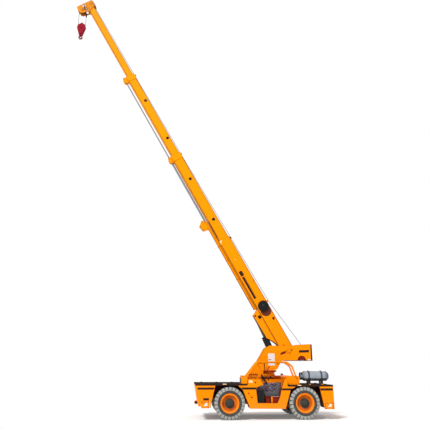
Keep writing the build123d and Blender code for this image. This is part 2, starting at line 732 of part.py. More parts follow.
def hub_solid(x):
    """A cast hub that runs on the spindle, blind at its cap."""
    outer = WHEEL_Y + TYRE_WIDTH / 2
    disc = outer - DISC_IN
    back, blind, end = WHEEL_Y - HUB_BACK + SEAT_GAP, WHEEL_Y + SPINDLE_REACH + 3, outer - HUB_END_IN
    bore, half = SPINDLE_R + SHAFT_GAP, HUB_FLANGE / 2
    return turned_y([(bore, back), (HUB_BARREL_R, back), (HUB_BARREL_R, disc - half), (HUB_R, disc - half),
                     (HUB_R, disc + half), (HUB_BARREL_R, disc + half + 8), (HUB_CAP_R, end - 8), (HUB_END_R, end),
                     (0, end), (0, blind), (bore, blind)], x, TYRE_R)


def make_wheel(name, x, side):
    for node, shape in (("tyre", tyre_solid(x)), ("wheel", rim_solid(x) + hub_solid(x))):
        save(f"{node}_{name}", shape if side > 0 else flip_y(shape))


def make_cab_tub():
    outer = INSIDE - SEAT_GAP
    low, top = CAB_FLOOR_Z - SHEET, PANEL_TOP_Z
    tub = block(CAB_REAR_X, CAB_FRONT_X, CAB_INNER_Y, outer, low, CAB_FLOOR_Z)
    tub += block(CAB_REAR_X, CAB_FRONT_X, CAB_INNER_Y, CAB_INNER_Y + SHEET, low, top)
    tub += block(CAB_FRONT_X - SHEET, CAB_FRONT_X, CAB_INNER_Y, outer, low, top)
    tub += block(CAB_REAR_X, CAB_REAR_X + SHEET, CAB_INNER_Y, outer, low, top)
    save("cab_tub", tub)


def make_dashboard():
    """A folded panel across the cab's front with a row of levers on top."""
    front = CAB_FRONT_X - SHEET
    outline = [(front, DASH_LOW_Z), (front, DASH_TOP_Z), (DASH_REAR_X + 40, DASH_TOP_Z),
               (DASH_REAR_X, DASH_TOP_Z - 80), (DASH_REAR_X, DASH_LOW_Z + 100), (DASH_REAR_X + 60, DASH_LOW_Z)]
    dash = plate_xz(outline, CAB_INNER_Y + SHEET + SEAT_GAP, INSIDE - 2 * SEAT_GAP)
    for number in range(LEVER_COUNT):
        foot = Pos(LEVER_X - LEVER_STEP_X * number, LEVER_Y + LEVER_STEP_Y * number, DASH_TOP_Z)
        foot *= Rot(0, LEVER_TILT, 0)
        dash += foot * Pos(0, 0, LEVER_LENGTH / 2 - LEVER_R) * Cylinder(LEVER_R, LEVER_LENGTH)
        dash += foot * Pos(0, 0, LEVER_LENGTH - LEVER_R) * Sphere(KNOB_R)
    save("dashboard", dash)


def make_console():
    rear, front, top = CONSOLE_REAR_X, CONSOLE_FRONT_X, CONSOLE_TOP_Z
    outline = [(rear, CAB_FLOOR_Z), (rear, top - 22), (rear + 25, top), (front - 25, top), (front, top - 22),
               (front, CAB_FLOOR_Z)]
    save("side_console", plate_xz(outline, CONSOLE_Y, INSIDE - PLATE))


def make_seat():
    save("seat_base", block(*SEAT_BASE_X, *SEAT_BASE_Y, CAB_FLOOR_Z, SEAT_Z))
    low, top, rear, front = SEAT_Z + SEAT_GAP, SEAT_Z + CUSHION_THICK, CUSHION_REAR_X, CUSHION_FRONT_X
    cushion = plate_xz([(rear, low), (rear, top), (front - 45, top + 18), (front, top - 2), (front, low + 10),
                        (front - 45, low)], *CUSHION_Y)
    back = plate_xz([(SEAT_BASE_X[0] + BACK_INSET, low), (BACK_TOP_X, BACK_TOP_Z - 15),
                     (BACK_TOP_X + 68, BACK_TOP_Z), (rear - 63, top + 198), (rear - 2, top + 10),
                     (rear - SEAT_GAP, low)], CUSHION_Y[0] + BACK_INSET, CUSHION_Y[1] - BACK_INSET)
    save("seat_cushions", cushion, back)


def make_steering():
    place = Pos(*COLUMN_TOP) * Rot(0, -COLUMN_TILT, 0)
    wheel = Torus(WHEEL_RING_R, WHEEL_GRIP_R) + Cylinder(WHEEL_BOSS_R, WHEEL_BOSS)
    for turn in (0, 120, 240):
        spoke = Box(WHEEL_RING_R - SPOKE_W, SPOKE_W, SPOKE_THICK)
        wheel += Rot(0, 0, turn) * Pos((WHEEL_RING_R + SPOKE_W) / 2 - 4, 0, 0) * spoke
    wheel -= Pos(0, 0, -WHEEL_BOSS / 2 + 5) * Cylinder(COLUMN_SHAFT_R + SHAFT_GAP, WHEEL_BOSS)
    save("steering_wheel", place * wheel)
    # The column is longer than it needs to be, and the dashboard's rear face cuts it off
    length = 2 * (DASH_REAR_X - COLUMN_TOP[0])
    column = Pos(0, 0, -length / 2) * Cylinder(COLUMN_SHAFT_R, length)
    column += Pos(0, 0, -COLUMN_BARE - length / 2) * Cylinder(COLUMN_R, length)
    x, y, z = COLUMN_TOP
    room = block(x - COLUMN_BARE, DASH_REAR_X, y - COLUMN_R, y + COLUMN_R, z - length, z + COLUMN_BARE)
    save("steering_column", place * column & room)


def make_guard():
    hoops = Part()
    for y in (GUARD_IN_Y, GUARD_OUT_Y):
        hoops += pipe([(GUARD_FRONT_X, y, COWL_TOP_Z), (GUARD_BEND_X, y, GUARD_TOP_Z),
                       (GUARD_REAR_X + 280, y, GUARD_TOP_Z), (GUARD_REAR_X + 110, y, GUARD_TOP_Z - 128),
                       (GUARD_REAR_X, y, HOOD_TOP_Z)], GUARD_R, GUARD_BEND)
        for x, z in ((GUARD_FRONT_X, COWL_TOP_Z), (GUARD_REAR_X, HOOD_TOP_Z)):
            hoops += block(x - GUARD_FOOT, x + GUARD_FOOT, y - GUARD_FOOT, y + GUARD_FOOT, z, z + GUARD_FOOT_THICK)
    for x in GUARD_BARS:
        hoops += rod_y(x, GUARD_TOP_Z, GUARD_BAR_R, GUARD_IN_Y, GUARD_OUT_Y)
    low = COWL_TOP_Z + GUARD_FOOT_THICK
    screen = [(SCREEN_REAR_X, GUARD_TOP_Z - 10), (GUARD_BEND_X - 15, GUARD_TOP_Z - 10), (GUARD_FRONT_X - 27, low),
              (SCREEN_REAR_X, low)]
    hoops += plate_xz(screen, GUARD_IN_Y - SCREEN_THICK / 2, GUARD_IN_Y + SCREEN_THICK / 2)
    # The hoops' ends are cut level with what they stand on
    for x, z in ((GUARD_FRONT_X, COWL_TOP_Z), (GUARD_REAR_X, HOOD_TOP_Z)):
        hoops -= block(x - 5 * GUARD_R, x + 5 * GUARD_R, CAB_INNER_Y - 2 * GUARD_R, BODY_HALF, z - 2 * GUARD_R, z)
    save("overhead_guard", hoops)


def make_cowls():
    cowl = block(COWL_REAR_X, COWL_FRONT_X, CAB_INNER_Y - COWL_IN, BODY_HALF - COWL_SIDE_IN, FRONT_DECK_Z, COWL_TOP_Z)
    cowl = fillet(cowl.edges().filter_by(Axis.Y).group_by(Axis.Z)[-1], COWL_ROUND)
    save("deck_cowls", cowl)


def make_hood():
    """A pressed hood, open below, whose inner wall stands on the middle deck."""
    rear, front = DECK_REAR_X + SEAT_GAP, COWL_REAR_X - HOOD_FRONT_GAP
    outer, inner = -INSIDE + TANK_BOX_IN, -CAB_INNER_Y + HOOD_OVER_DECK
    hood = block(rear, front, outer, inner, REAR_DECK_Z, HOOD_TOP_Z)
    hood = fillet(hood.edges().filter_by(Axis.X).group_by(Axis.Z)[-1], HOOD_ROUND)
    hood -= block(rear + HOOD_SHELL, front - HOOD_SHELL, outer + HOOD_SHELL, inner - HOOD_SHELL,
                  REAR_DECK_Z - CUT, HOOD_TOP_Z - HOOD_ROUND)
    save("engine_hood", hood)
    save("engine_block", block(*ENGINE_X, *ENGINE_Y, CAB_FLOOR_Z + BEARER_H, ENGINE_TOP_Z))


def make_hydraulic_tank():
    outer = INSIDE - TANK_BOX_IN
    box = block(TANK_BOX_X, DECK_REAR_X, -outer, TANK_BOX_Y, REAR_DECK_Z, HOOD_TOP_Z)
    box = fillet(box.edges().filter_by(Axis.Y).group_by(Axis.Z)[-1], TANK_BOX_ROUND)
    box -= block(TANK_BOX_X + SHEET, DECK_REAR_X - SHEET, -outer + SHEET, TANK_BOX_Y - SHEET,
                 REAR_DECK_Z + SHEET, HOOD_TOP_Z - HOOD_ROUND)
    middle = (TANK_BOX_X + DECK_REAR_X) / 2
    box += rod_z(middle, -outer + 4 * FILLER_R, FILLER_R, HOOD_TOP_Z - CUT, HOOD_TOP_Z + FILLER_H)
    save("hydraulic_tank", box)


def make_lamps():
    """One lamp on the cowl, and one on the hood's front wall."""
    z, y = COWL_TOP_Z - LAMP_BELOW, BODY_HALF - LAMP_IN
    outline = [(0, 0), (0, LAMP_R - 8), (LAMP_DEEP - 14, LAMP_R), (LAMP_DEEP, LAMP_R - 4), (LAMP_DEEP, 0)]
    lamps = [turned_x([(x + face, r) for x, r in outline], side * y, z)
             for face, side in ((COWL_FRONT_X, 1), (COWL_REAR_X - HOOD_FRONT_GAP, -1))]
    save("headlamps", *lamps)


def make_gas_tank():
    nose = GAS_FRONT_X - GAS_DOME
    dome_r = GAS_R - GAS_DOME
    tank = turned_x([(GAS_REAR_X, 0), (GAS_REAR_X, dome_r), (GAS_REAR_X + GAS_END, GAS_R), (nose - GAS_END, GAS_R),
                     (nose, dome_r), (nose, 0)], GAS_Y, GAS_Z)
    tank += turned_x([(GAS_FRONT_X - GAS_COLLAR, GAS_R - 40), (GAS_FRONT_X, GAS_R - 34),
                      (GAS_FRONT_X, GAS_R - 42), (GAS_FRONT_X - GAS_COLLAR, GAS_R - 50)], GAS_Y, GAS_Z)
    tank += rod_x(GAS_Y, GAS_Z, GAS_VALVE_R, nose - CUT, GAS_FRONT_X - PLATE)
    save("gas_tank", tank)
    cradles = []
    for x in SADDLE_X:
        saddle = block(x - SADDLE_W / 2, x + SADDLE_W / 2, GAS_Y - SADDLE_HALF, GAS_Y + SADDLE_HALF, REAR_DECK_Z,
                       GAS_Z - SADDLE_BELOW)
        inner, outer, half = GAS_R + SEAT_GAP, GAS_R + STRAP_THICK, STRAP_W / 2
        strap = turned_x([(x - half, inner), (x + half, inner), (x + half, outer), (x - half, outer)], GAS_Y, GAS_Z)
        cradles.append(saddle - rod_x(GAS_Y, GAS_Z, inner, x - SADDLE_W, x + SADDLE_W) + strap)
    save("tank_cradle", *cradles)


def make_pedestal():
    """A turned column on the rails with the slewing ring's fixed half on top, and its motor."""
    column = turned_z([(0, RAIL_TOP_Z), (PEDESTAL_FOOT_R, RAIL_TOP_Z), (PEDESTAL_FOOT_R, RAIL_TOP_Z + PEDESTAL_FOOT),
                       (PEDESTAL_R, RAIL_TOP_Z + 90), (PEDESTAL_R, PEDESTAL_TOP_Z - 95),
                       (RING_R, PEDESTAL_TOP_Z - 40), (RING_R, PEDESTAL_TOP_Z), (0, PEDESTAL_TOP_Z)])
    outer = RAIL_Y + RAIL_W / 2
    column += block(-RAIL_Y, RAIL_Y, -outer, outer, RAIL_TOP_Z, RAIL_TOP_Z + PEDESTAL_BASE)
    motor_top = PEDESTAL_TOP_Z - 2
    column += rod_z(0, SLEW_MOTOR_Y, SLEW_MOTOR_R, REAR_DECK_Z + SEAT_GAP, motor_top)
    column += block(-SLEW_MOTOR_R, SLEW_MOTOR_R, SLEW_MOTOR_Y, 0, PEDESTAL_TOP_Z - 40, motor_top)
    save("pedestal", column)


# The turret's side, as (x, z above the table) points
TURRET_SHAPE = [(295, 0), (334, 300), (55, 751), (-107, 834), (-851, 824), (-1038, 859), (TAIL_END_X, 884),
                (TAIL_END_X, 329), (-560, 336), (-455, 233), (-368, 62), (-232, 0)]


def turret_table():
    low = PEDESTAL_TOP_Z + SEAT_GAP
    return turned_z([(0, low), (RING_R, low), (RING_R, low + RING_H), (CONE_R, low + RING_H + 20),
                     (TABLE_R - 20, TABLE_Z - TABLE_THICK), (TABLE_R, TABLE_Z - TABLE_THICK), (TABLE_R, TABLE_Z),
                     (0, TABLE_Z)])


def turret_sides():
    outline = [(x, TABLE_Z + z) for x, z in TURRET_SHAPE]
    sides = Part()
    for number, (y0, y1) in enumerate(both_y(TURRET_IN_Y, TURRET_IN_Y + TURRET_PLATE)):
        side = plate_xz(outline, y0, y1)
        side -= rod_y(WINCH_X, WINCH_HOLE_Z, WINCH_HOLE_R, y0 - CUT, y1 + CUT)
        face, out = (y1, 1) if number == 0 else (y0, -1)
        for x, z, radius in ((PIVOT_X, PIVOT_Z, PIVOT_BOSS_R), (LIFT_BASE_X, LIFT_BASE_Z, LIFT_BOSS_R)):
            boss = sorted((face - out * CUT, face + out * PIVOT_BOSS))
            side += rod_y(x, z, radius, *boss)
        side -= rod_y(LIFT_BASE_X, LIFT_BASE_Z, LIFT_PIN_R + SHAFT_GAP, y0 - 2 * PIVOT_BOSS, y1 + 2 * PIVOT_BOSS)
        sides += side
    return sides


def turret_sheets():
    """Cross sheets between the sides: front, rear slope, tail floor either side of the winch, roof and end."""
    wide = (-TURRET_IN_Y - CUT, TURRET_IN_Y + CUT)
    t = TURRET_SHEET
    slope = [(-232, 0), (-368, 62), (-455, 233), (-560, 336), (-560, 350), (-545, 350), (-440, 240), (-352, 70),
             (-226, 12), (-226, 0)]
    sheets = block(262, 282, *wide, TABLE_Z - CUT, TABLE_Z + 100)
    sheets += plate_xz([(x, TABLE_Z + z) for x, z in slope], *wide)
    hole = WINCH_HOLE_R + 15
    sheets += block(WINCH_X + hole, -550, *wide, TAIL_FLOOR_Z + 7, TAIL_FLOOR_Z + 7 + t)
    sheets += block(TAIL_END_X, WINCH_X - hole, *wide, TAIL_FLOOR_Z, TAIL_FLOOR_Z + t)
    sheets += plate_xz([(-1075, TAIL_TOP_Z - 39), (-1075, TAIL_TOP_Z - 27), (TAIL_END_X, TAIL_TOP_Z),
                        (TAIL_END_X, TAIL_TOP_Z - 12)], *wide)
    sheets += block(TAIL_END_X, TAIL_END_X + t, *wide, TAIL_FLOOR_Z, TAIL_TOP_Z - 4)
    return sheets


def make_turret():
    out_y = TURRET_IN_Y + TURRET_PLATE
    turret = turret_table() + turret_sides() + turret_sheets()
    turret += rod_y(PIVOT_X, PIVOT_Z, PIVOT_R, -out_y - 2 * PIVOT_BOSS, out_y + 2 * PIVOT_BOSS)
    # Winch motor on the right side plate
    turret += rod_y(WINCH_X, WINCH_Z, WINCH_MOTOR_R, -out_y - WINCH_MOTOR, -out_y + CUT)
    save("turret", turret)
    bumper = block(TAIL_END_X - BUMPER, TAIL_END_X - SEAT_GAP, -out_y, out_y, TAIL_FLOOR_Z, TAIL_TOP_Z)
    save("tail_bumper", bumper)
    half = TURRET_IN_Y - SEAT_GAP
    drum = rod_y(WINCH_X, WINCH_Z, WINCH_DRUM_R, -half, half)
    for y0, y1 in both_y(half - WINCH_FLANGE, half):
        drum += rod_y(WINCH_X, WINCH_Z, WINCH_FLANGE_R, y0, y1)
    save("winch_drum", drum)


BOOM = Pos(PIVOT_X, 0, PIVOT_Z) * Rot(0, -BOOM_ANGLE, 0)


def on_boom(shape):
    return BOOM * shape


def boom_tube(depth, width, wall, rear, tip):
    shell = block(rear, tip, -width / 2, width / 2, -depth / 2, depth / 2)
    shell = fillet(shell.edges().filter_by(Axis.X), CORNER_R)
    room_y, room_z = width / 2 - wall, depth / 2 - wall
    return shell - block(rear - CUT, tip + CUT, -room_y, room_y, -room_z, room_z)


def wear_pads(outer, inner):
    """Pads in the tip of the outer section and on the tail of the inner one."""
    _, depth, width, wall, _, tip = outer
    _, in_depth, in_width, _, in_rear, _ = inner
    room_z, room_y = depth / 2 - wall, width / 2 - wall
    tip_x = (tip - PAD_IN - PAD_LENGTH, tip - PAD_IN)
    tail_x = (in_rear + PAD_IN, in_rear + PAD_IN + PAD_LENGTH)
    pads, tail_pads = Part(), Part()
    for up in (1, -1):
        z0, z1 = sorted((up * (in_depth / 2 + SEAT_GAP), up * (room_z + CUT)))
        pads += block(*tip_x, -in_width / 4, in_width / 4, z0, z1)
        y0, y1 = sorted((up * (in_width / 2 + SEAT_GAP), up * (room_y + CUT)))
        pads += block(*tip_x, y0, y1, -in_depth / 4, in_depth / 4)
        z0, z1 = sorted((up * (in_depth / 2 - CUT), up * (room_z - SEAT_GAP)))
        tail_pads += block(*tail_x, -in_width / 4, in_width / 4, z0, z1)
        y0, y1 = sorted((up * (in_width / 2 - CUT), up * (room_y - SEAT_GAP)))
        tail_pads += block(*tail_x, y0, y1, -in_depth / 4, in_depth / 4)
    return pads, tail_pads


def tip_collar(depth, width, tip, bore_r):
    """A band round the tip with two lugs below that hold a telescope rod, and a guide on top."""
    start = tip - COLLAR_LENGTH
    outer_y, outer_z = width / 2 + COLLAR_THICK, depth / 2 + COLLAR_THICK
    inner_y, inner_z = width / 2 - 2, depth / 2 - 2
    band = block(start, tip, -outer_y, outer_y, -outer_z, outer_z)
    band -= block(start - CUT, tip + CUT, -inner_y, inner_y, -inner_z, inner_z)
    for low in (start, tip - LUG_LENGTH):
        band += block(low, low + LUG_LENGTH, -LUG_HALF, LUG_HALF, -LUG_BELOW, -depth / 2 - CUT)
    return band - rod_x(0, -ROD_BELOW, bore_r + SEAT_GAP, start - CUT, tip + CUT)


def pivot_bosses():
    half = SECTIONS[0][2] / 2
    bosses = Part()
    for y0, y1 in both_y(half - 10, TURRET_IN_Y - SEAT_GAP):
        bosses += rod_y(0, 0, BOOM_BOSS_R, y0, y1)
    return bosses


def lift_bracket():
    """Two ears under the base section that take the lift rod's pin, each with a square window."""
    deep = SECTIONS[0][1] / 2
    pin, low = LIFT_PIN_ALONG, -LIFT_PIN_BELOW
    outline = [(pin - 1229, -deep + 10), (pin - 1229, -deep), (pin - 1060, low + 105), (pin - 857, low - 38),
               (pin + 67, low - 51), (pin + 120, low + 88), (pin + 180, -deep + 10)]
    ears = Part()
    for y0, y1 in both_y(BRACKET_Y, BRACKET_Y + BRACKET_PLATE):
        ear = plate_xz(outline, y0, y1)
        ear -= rod_y(pin, low, LIFT_PIN_R + PIN_GAP, y0 - CUT, y1 + CUT)
        ears += ear - block(pin - 170, pin - 50, y0 - CUT, y1 + CUT, low + 60, low + 170)
    return ears


def rope_guide():
    """Two ears and a roller on top of the base section, which carry the hoist rope."""
    top = SECTIONS[0][1] / 2
    centre = GUIDE_ABOVE - GUIDE_R - ROPE_R
    guide = rod_y(GUIDE_ALONG, centre, GUIDE_R, -GUIDE_HALF, GUIDE_HALF)
    outline = [(GUIDE_ALONG - GUIDE_EAR_HALF, top - CUT), (GUIDE_ALONG + GUIDE_EAR_HALF, top - CUT),
               (GUIDE_ALONG + GUIDE_R, GUIDE_ABOVE), (GUIDE_ALONG - GUIDE_R, GUIDE_ABOVE)]
    for y0, y1 in both_y(GUIDE_HALF - CUT, GUIDE_HALF + GUIDE_EAR):
        guide += plate_xz(outline, y0, y1)
    return guide


def telescope_barrel():
    """The fixed barrel under the base section, in a tray, with the gland's lug at its tip."""
    deep = SECTIONS[0][1] / 2
    end = BARREL_TIP + BARREL_END
    barrel = rod_x(0, -ROD_BELOW, BARREL_R, BARREL_REAR, end)
    barrel -= rod_x(0, -ROD_BELOW, BARREL_BORE, BARREL_REAR + BARREL_BLIND, end + CUT)
    gland = [(BARREL_TIP - 220, -300), (BARREL_TIP - 190, -520), (BARREL_TIP + 40, -570), (BARREL_TIP + 200, -390),
             (BARREL_TIP + 120, -300)]
    tray = block(BARREL_REAR, BARREL_TIP, -TRAY_HALF, TRAY_HALF, -deep - TRAY_DEEP, -deep - SEAT_GAP)
    room = rod_x(0, -ROD_BELOW, BARREL_R - CUT, BARREL_REAR, BARREL_TIP + 400)
    return barrel + (plate_xz(gland, -GLAND_HALF, GLAND_HALF) - room) + (tray - room)


def make_boom():
    shapes = [boom_tube(*section[1:]) for section in SECTIONS]
    for number in range(len(SECTIONS) - 1):
        pads, tail_pads = wear_pads(SECTIONS[number], SECTIONS[number + 1])
        shapes[number] += pads
        shapes[number + 1] += tail_pads
    for number, bore_r in ((1, STAGE_1_R), (2, STAGE_2_R)):
        _, depth, width, _, _, tip = SECTIONS[number]
        shapes[number] += tip_collar(depth, width, tip, bore_r)
    _, depth, width, wall, rear, _ = SECTIONS[0]
    half_y, half_z = width / 2 - wall + CUT, depth / 2 - wall + CUT
    base = shapes[0] + pivot_bosses()
    base -= rod_y(0, 0, PIVOT_R + SHAFT_GAP, -TURRET_IN_Y - CUT, TURRET_IN_Y + CUT)
    base += block(rear, rear + BOOM_END_PLATE, -half_y, half_y, -half_z, half_z)
    shapes[0] = base + lift_bracket() + rope_guide()
    for section, shape in zip(SECTIONS, shapes):
        save(section[0], on_boom(shape))
    tip_2, tip_3 = SECTIONS[1][5], SECTIONS[2][5]
    stage_1 = rod_x(0, -ROD_BELOW, STAGE_1_R, BARREL_TIP - STAGE_1_TAIL, tip_2 + ROD_NUT)
    stage_1 -= rod_x(0, -ROD_BELOW, STAGE_1_BORE, BARREL_TIP - STAGE_1_TAIL - CUT, tip_2 + ROD_NUT + CUT)
    stage_2 = rod_x(0, -ROD_BELOW, STAGE_2_R, tip_2 - STAGE_2_TAIL, tip_3 + ROD_NUT)
    save("telescope_barrel", on_boom(telescope_barrel()))
    save("telescope_rod_1", on_boom(stage_1))
    save("telescope_rod_2", on_boom(stage_2))
    reel = rod_y(REEL_ALONG, REEL_ABOVE, REEL_R, width / 2 + SEAT_GAP, width / 2 + REEL_FLANGE)
    reel += rod_y(REEL_ALONG, REEL_ABOVE, REEL_CORE_R, width / 2 + REEL_FLANGE - CUT, width / 2 + REEL_CORE)
    save("cable_reel", on_boom(reel))


# The head's side plate, as (along, above) points from the main sheave's centre
HEAD_SIDE = [(-60, 505), (-225, 235), (-185, 50), (-180, -80), (-115, -160), (90, -195), (230, -170), (243, -60),
             (288, 545), (225, 560), (-50, 560)]

# The window in it between the sheave's boss and the boom, in the same points
HEAD_WINDOW = [(-125, 85), (-145, 195), (195, 195), (205, 30), (110, 85)]


def from_sheave(points):
    return [(SHEAVE_ALONG + x, z - SHEAVE_BELOW) for x, z in points]


def grooved_wheel(along, above, radius, groove_r, pin_r):
    half = [(pin_r + SHAFT_GAP, SHEAVE_HALF), (radius, SHEAVE_HALF), (radius, SHEAVE_HALF - SHEAVE_LIP),
            (groove_r, GROOVE_HALF)]
    return turned_y([(r, -y) for r, y in half] + [(r, y) for r, y in reversed(half)], along, above)


def make_head():
    inner = SECTIONS[3][2] / 2 + SEAT_GAP
    outer = inner + HEAD_PLATE
    head = Part()
    for y0, y1 in both_y(inner, outer):
        head += plate_xz(from_sheave(HEAD_SIDE), y0, y1) - plate_xz(from_sheave(HEAD_WINDOW), y0 - CUT, y1 + CUT, 20)
    for y0, y1 in both_y(outer - CUT, outer + HEAD_BOSS):
        head += rod_y(SHEAVE_ALONG, -SHEAVE_BELOW, HEAD_BOSS_R, y0, y1)
    end = outer + PIN_HEAD
    head += rod_y(SHEAVE_ALONG, -SHEAVE_BELOW, SHEAVE_PIN_R, -end, end)
    head += rod_y(TOP_SHEAVE_ALONG, TOP_SHEAVE_ABOVE, TOP_PIN_R, -end, end)
    head += rod_y(HEAD_BAR_ALONG, -HEAD_BAR_BELOW, HEAD_BAR_R, -inner - CUT, inner + CUT)
    save("boom_head", on_boom(head))
    main = grooved_wheel(SHEAVE_ALONG, -SHEAVE_BELOW, SHEAVE_R, GROOVE_R, SHEAVE_PIN_R)
    top = grooved_wheel(TOP_SHEAVE_ALONG, TOP_SHEAVE_ABOVE, TOP_SHEAVE_R, TOP_GROOVE_R, TOP_PIN_R)
    save("head_sheaves", on_boom(main), on_boom(top))


def sheave_centre():
    a = radians(BOOM_ANGLE)
    x = PIVOT_X + SHEAVE_ALONG * cos(a) + SHEAVE_BELOW * sin(a)
    return x, PIVOT_Z + SHEAVE_ALONG * sin(a) - SHEAVE_BELOW * cos(a)


def make_falls(x, top, low):
    """The rope's two falls as straight bars, the rear one from its wedge socket."""
    reach = GROOVE_R + ROPE_R + SEAT_GAP
    socket_low = top - SOCKET_TOP - SOCKET_LENGTH
    rear = rod_z(x - reach, 0, ROPE_R, low, socket_low + CUT)
    rear += rod_z(x - reach, 0, SOCKET_R, socket_low, top - SOCKET_TOP)
    save("hoist_falls", rod_z(x + reach, 0, ROPE_R, low, top), rear)


def make_block(x, low):
    """Two rounded cheeks round a sheave, joined by the yoke that the hook turns in."""
    tail = low - BLOCK_TAIL
    half, yoke, lug = BLOCK_HALF, YOKE_HALF, BLOCK_LUG_HALF
    outline = [(x - 60, low + 215), (x + 60, low + 215), (x + 150, low + 150), (x + half, low + 15),
               (x + yoke, tail), (x - yoke, tail), (x - half, low + 15), (x - 150, low + 150)]
    cheeks = Part()
    for y0, y1 in both_y(CHEEK_GAP, CHEEK_GAP + CHEEK):
        cheeks += plate_xz(outline, y0, y1, 25)
    end = CHEEK_GAP + CHEEK + PIN_HEAD
    cheeks += rod_y(x, low, BLOCK_PIN_R - SHAFT_GAP, -end, end)
    cheeks += block(x - yoke, x + yoke, -CHEEK_GAP - CUT, CHEEK_GAP + CUT, tail, tail + YOKE_H)
    cheeks += block(x - lug, x + lug, -CHEEK_GAP - CUT, CHEEK_GAP + CUT, low + SHEAVE_R + BLOCK_PIN_R, low + BLOCK_LUG)
    cheeks -= rod_z(x, 0, SWIVEL_R + SHAFT_GAP, tail - CUT, tail + YOKE_H + CUT)
    sheave = grooved_wheel(x, low, SHEAVE_R - 3, GROOVE_R, BLOCK_PIN_R - SHAFT_GAP)
    save("hook_block", cheeks, sheave)
    return tail


def make_hook(x, low, tail):
    """A forged hook, cut from a thick outline, on a shank that turns in the yoke."""
    eye_z = low - HOOK_DROP
    half = HOOK_THICK / 2
    hook = rod_y(x, eye_z, HOOK_BACK_R, -half, half)
    hook += plate_xz([(x - HOOK_COLLAR_R, eye_z + 60), (x + HOOK_COLLAR_R, eye_z + 60),
                      (x + HOOK_COLLAR_R, tail - 2), (x - HOOK_COLLAR_R, tail - 2)], -half, half)
    hook -= rod_y(x, eye_z, HOOK_BOWL_R, -half - CUT, half + CUT)
    mouth = [(x - 20, eye_z + 12), (x - 130, eye_z + 18), (x - 130, eye_z + 130), (x - HOOK_COLLAR_R, eye_z + 130),
             (x - HOOK_COLLAR_R, eye_z + 36)]
    hook -= plate_xz(mouth, -half - CUT, half + CUT)
    save("hook", hook + rod_z(x, 0, SWIVEL_R, tail - 10, tail + YOKE_H - 5))


def lift_geometry():
    a = radians(BOOM_ANGLE)
    x = PIVOT_X + LIFT_PIN_ALONG * cos(a) + LIFT_PIN_BELOW * sin(a)
    z = PIVOT_Z + LIFT_PIN_ALONG * sin(a) - LIFT_PIN_BELOW * cos(a)
    dx, dz = x - LIFT_BASE_X, z - LIFT_BASE_Z
    return hypot(dx, dz), degrees(atan2(dz, dx))


def make_lift():
    length, angle = lift_geometry()
    place = Pos(LIFT_BASE_X, 0, LIFT_BASE_Z) * Rot(0, -angle, 0)
    pin_end = TURRET_IN_Y + TURRET_PLATE + PIVOT_BOSS + LIFT_PIN_IN
    bore = LIFT_BARREL_R - LIFT_WALL
    barrel = rod_x(0, 0, LIFT_BARREL_R, LIFT_BARREL_START, LIFT_BARREL_LENGTH)
    barrel -= rod_x(0, 0, bore, LIFT_HEAD_START, LIFT_BARREL_LENGTH - LIFT_GLAND)
    barrel -= rod_x(0, 0, LIFT_ROD_R + SHAFT_GAP, LIFT_HEAD_START, LIFT_BARREL_LENGTH + CUT)
    barrel += rod_y(0, 0, LIFT_EYE_R, -LIFT_EYE_HALF, LIFT_EYE_HALF)
    barrel += block(0, LIFT_BARREL_START + CUT, -LIFT_EYE_HALF, LIFT_EYE_HALF, -LIFT_EYE_R, LIFT_EYE_R)
    barrel += rod_y(0, 0, LIFT_PIN_R, -pin_end, pin_end)
    save("lift_barrel", place * barrel)
    rod = rod_x(0, 0, LIFT_ROD_R, LIFT_PISTON_AT, length - LIFT_ROD_EYE_R / 2)
    rod += rod_x(0, 0, bore - SEAT_GAP, LIFT_PISTON_AT, LIFT_PISTON_AT + LIFT_PISTON)
    rod += rod_y(length, 0, LIFT_ROD_EYE_R, -LIFT_ROD_EYE_HALF, LIFT_ROD_EYE_HALF)
    rod += rod_y(length, 0, LIFT_PIN_R, -BRACKET_Y + LIFT_PIN_IN, BRACKET_Y - LIFT_PIN_IN)
    save("lift_rod", place * rod)
    print("lift length", round(length, 1), "angle", round(angle, 2))


os.makedirs("parts", exist_ok=True)
make_side_plates()
make_arches()
make_ends()
make_decks()
make_outriggers()
make_frame()
for axle_name, axle_x in AXLES:
    make_axle(axle_name, axle_x)
    for side_name, side in SIDES:
        make_knuckle(f"{axle_name}_{side_name}", axle_x, side)
        make_wheel(f"{axle_name}_{side_name}", axle_x, side)
make_cab_tub()
make_dashboard()
make_console()
make_seat()
make_steering()
make_guard()
make_cowls()
make_hood()
make_hydraulic_tank()
make_lamps()
make_gas_tank()
make_pedestal()
make_turret()
make_boom()
make_head()
block_x, sheave_z = sheave_centre()
block_z = sheave_z - FALL_LENGTH
make_falls(block_x, sheave_z, block_z)
make_hook(block_x, block_z, make_block(block_x, block_z))
make_lift()
print("sheave centre", round(block_x, 2), round(sheave_z, 2))
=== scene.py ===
import math

import bmesh
import bpy
from mathutils import Matrix, Vector


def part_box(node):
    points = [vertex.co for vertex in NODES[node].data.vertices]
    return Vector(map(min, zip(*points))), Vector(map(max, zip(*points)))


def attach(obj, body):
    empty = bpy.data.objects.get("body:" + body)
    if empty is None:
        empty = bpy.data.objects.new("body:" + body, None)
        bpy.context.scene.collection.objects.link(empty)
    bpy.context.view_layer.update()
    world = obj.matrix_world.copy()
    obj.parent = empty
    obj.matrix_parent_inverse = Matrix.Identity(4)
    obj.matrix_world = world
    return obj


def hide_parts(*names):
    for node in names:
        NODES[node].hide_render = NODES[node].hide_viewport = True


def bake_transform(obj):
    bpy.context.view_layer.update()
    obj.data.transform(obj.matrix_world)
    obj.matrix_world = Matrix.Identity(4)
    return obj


# The looks of a carry deck crane, in metres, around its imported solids.
# +X is forward, +Y is the operator's side, +Z is up, and the ground is z = 0.

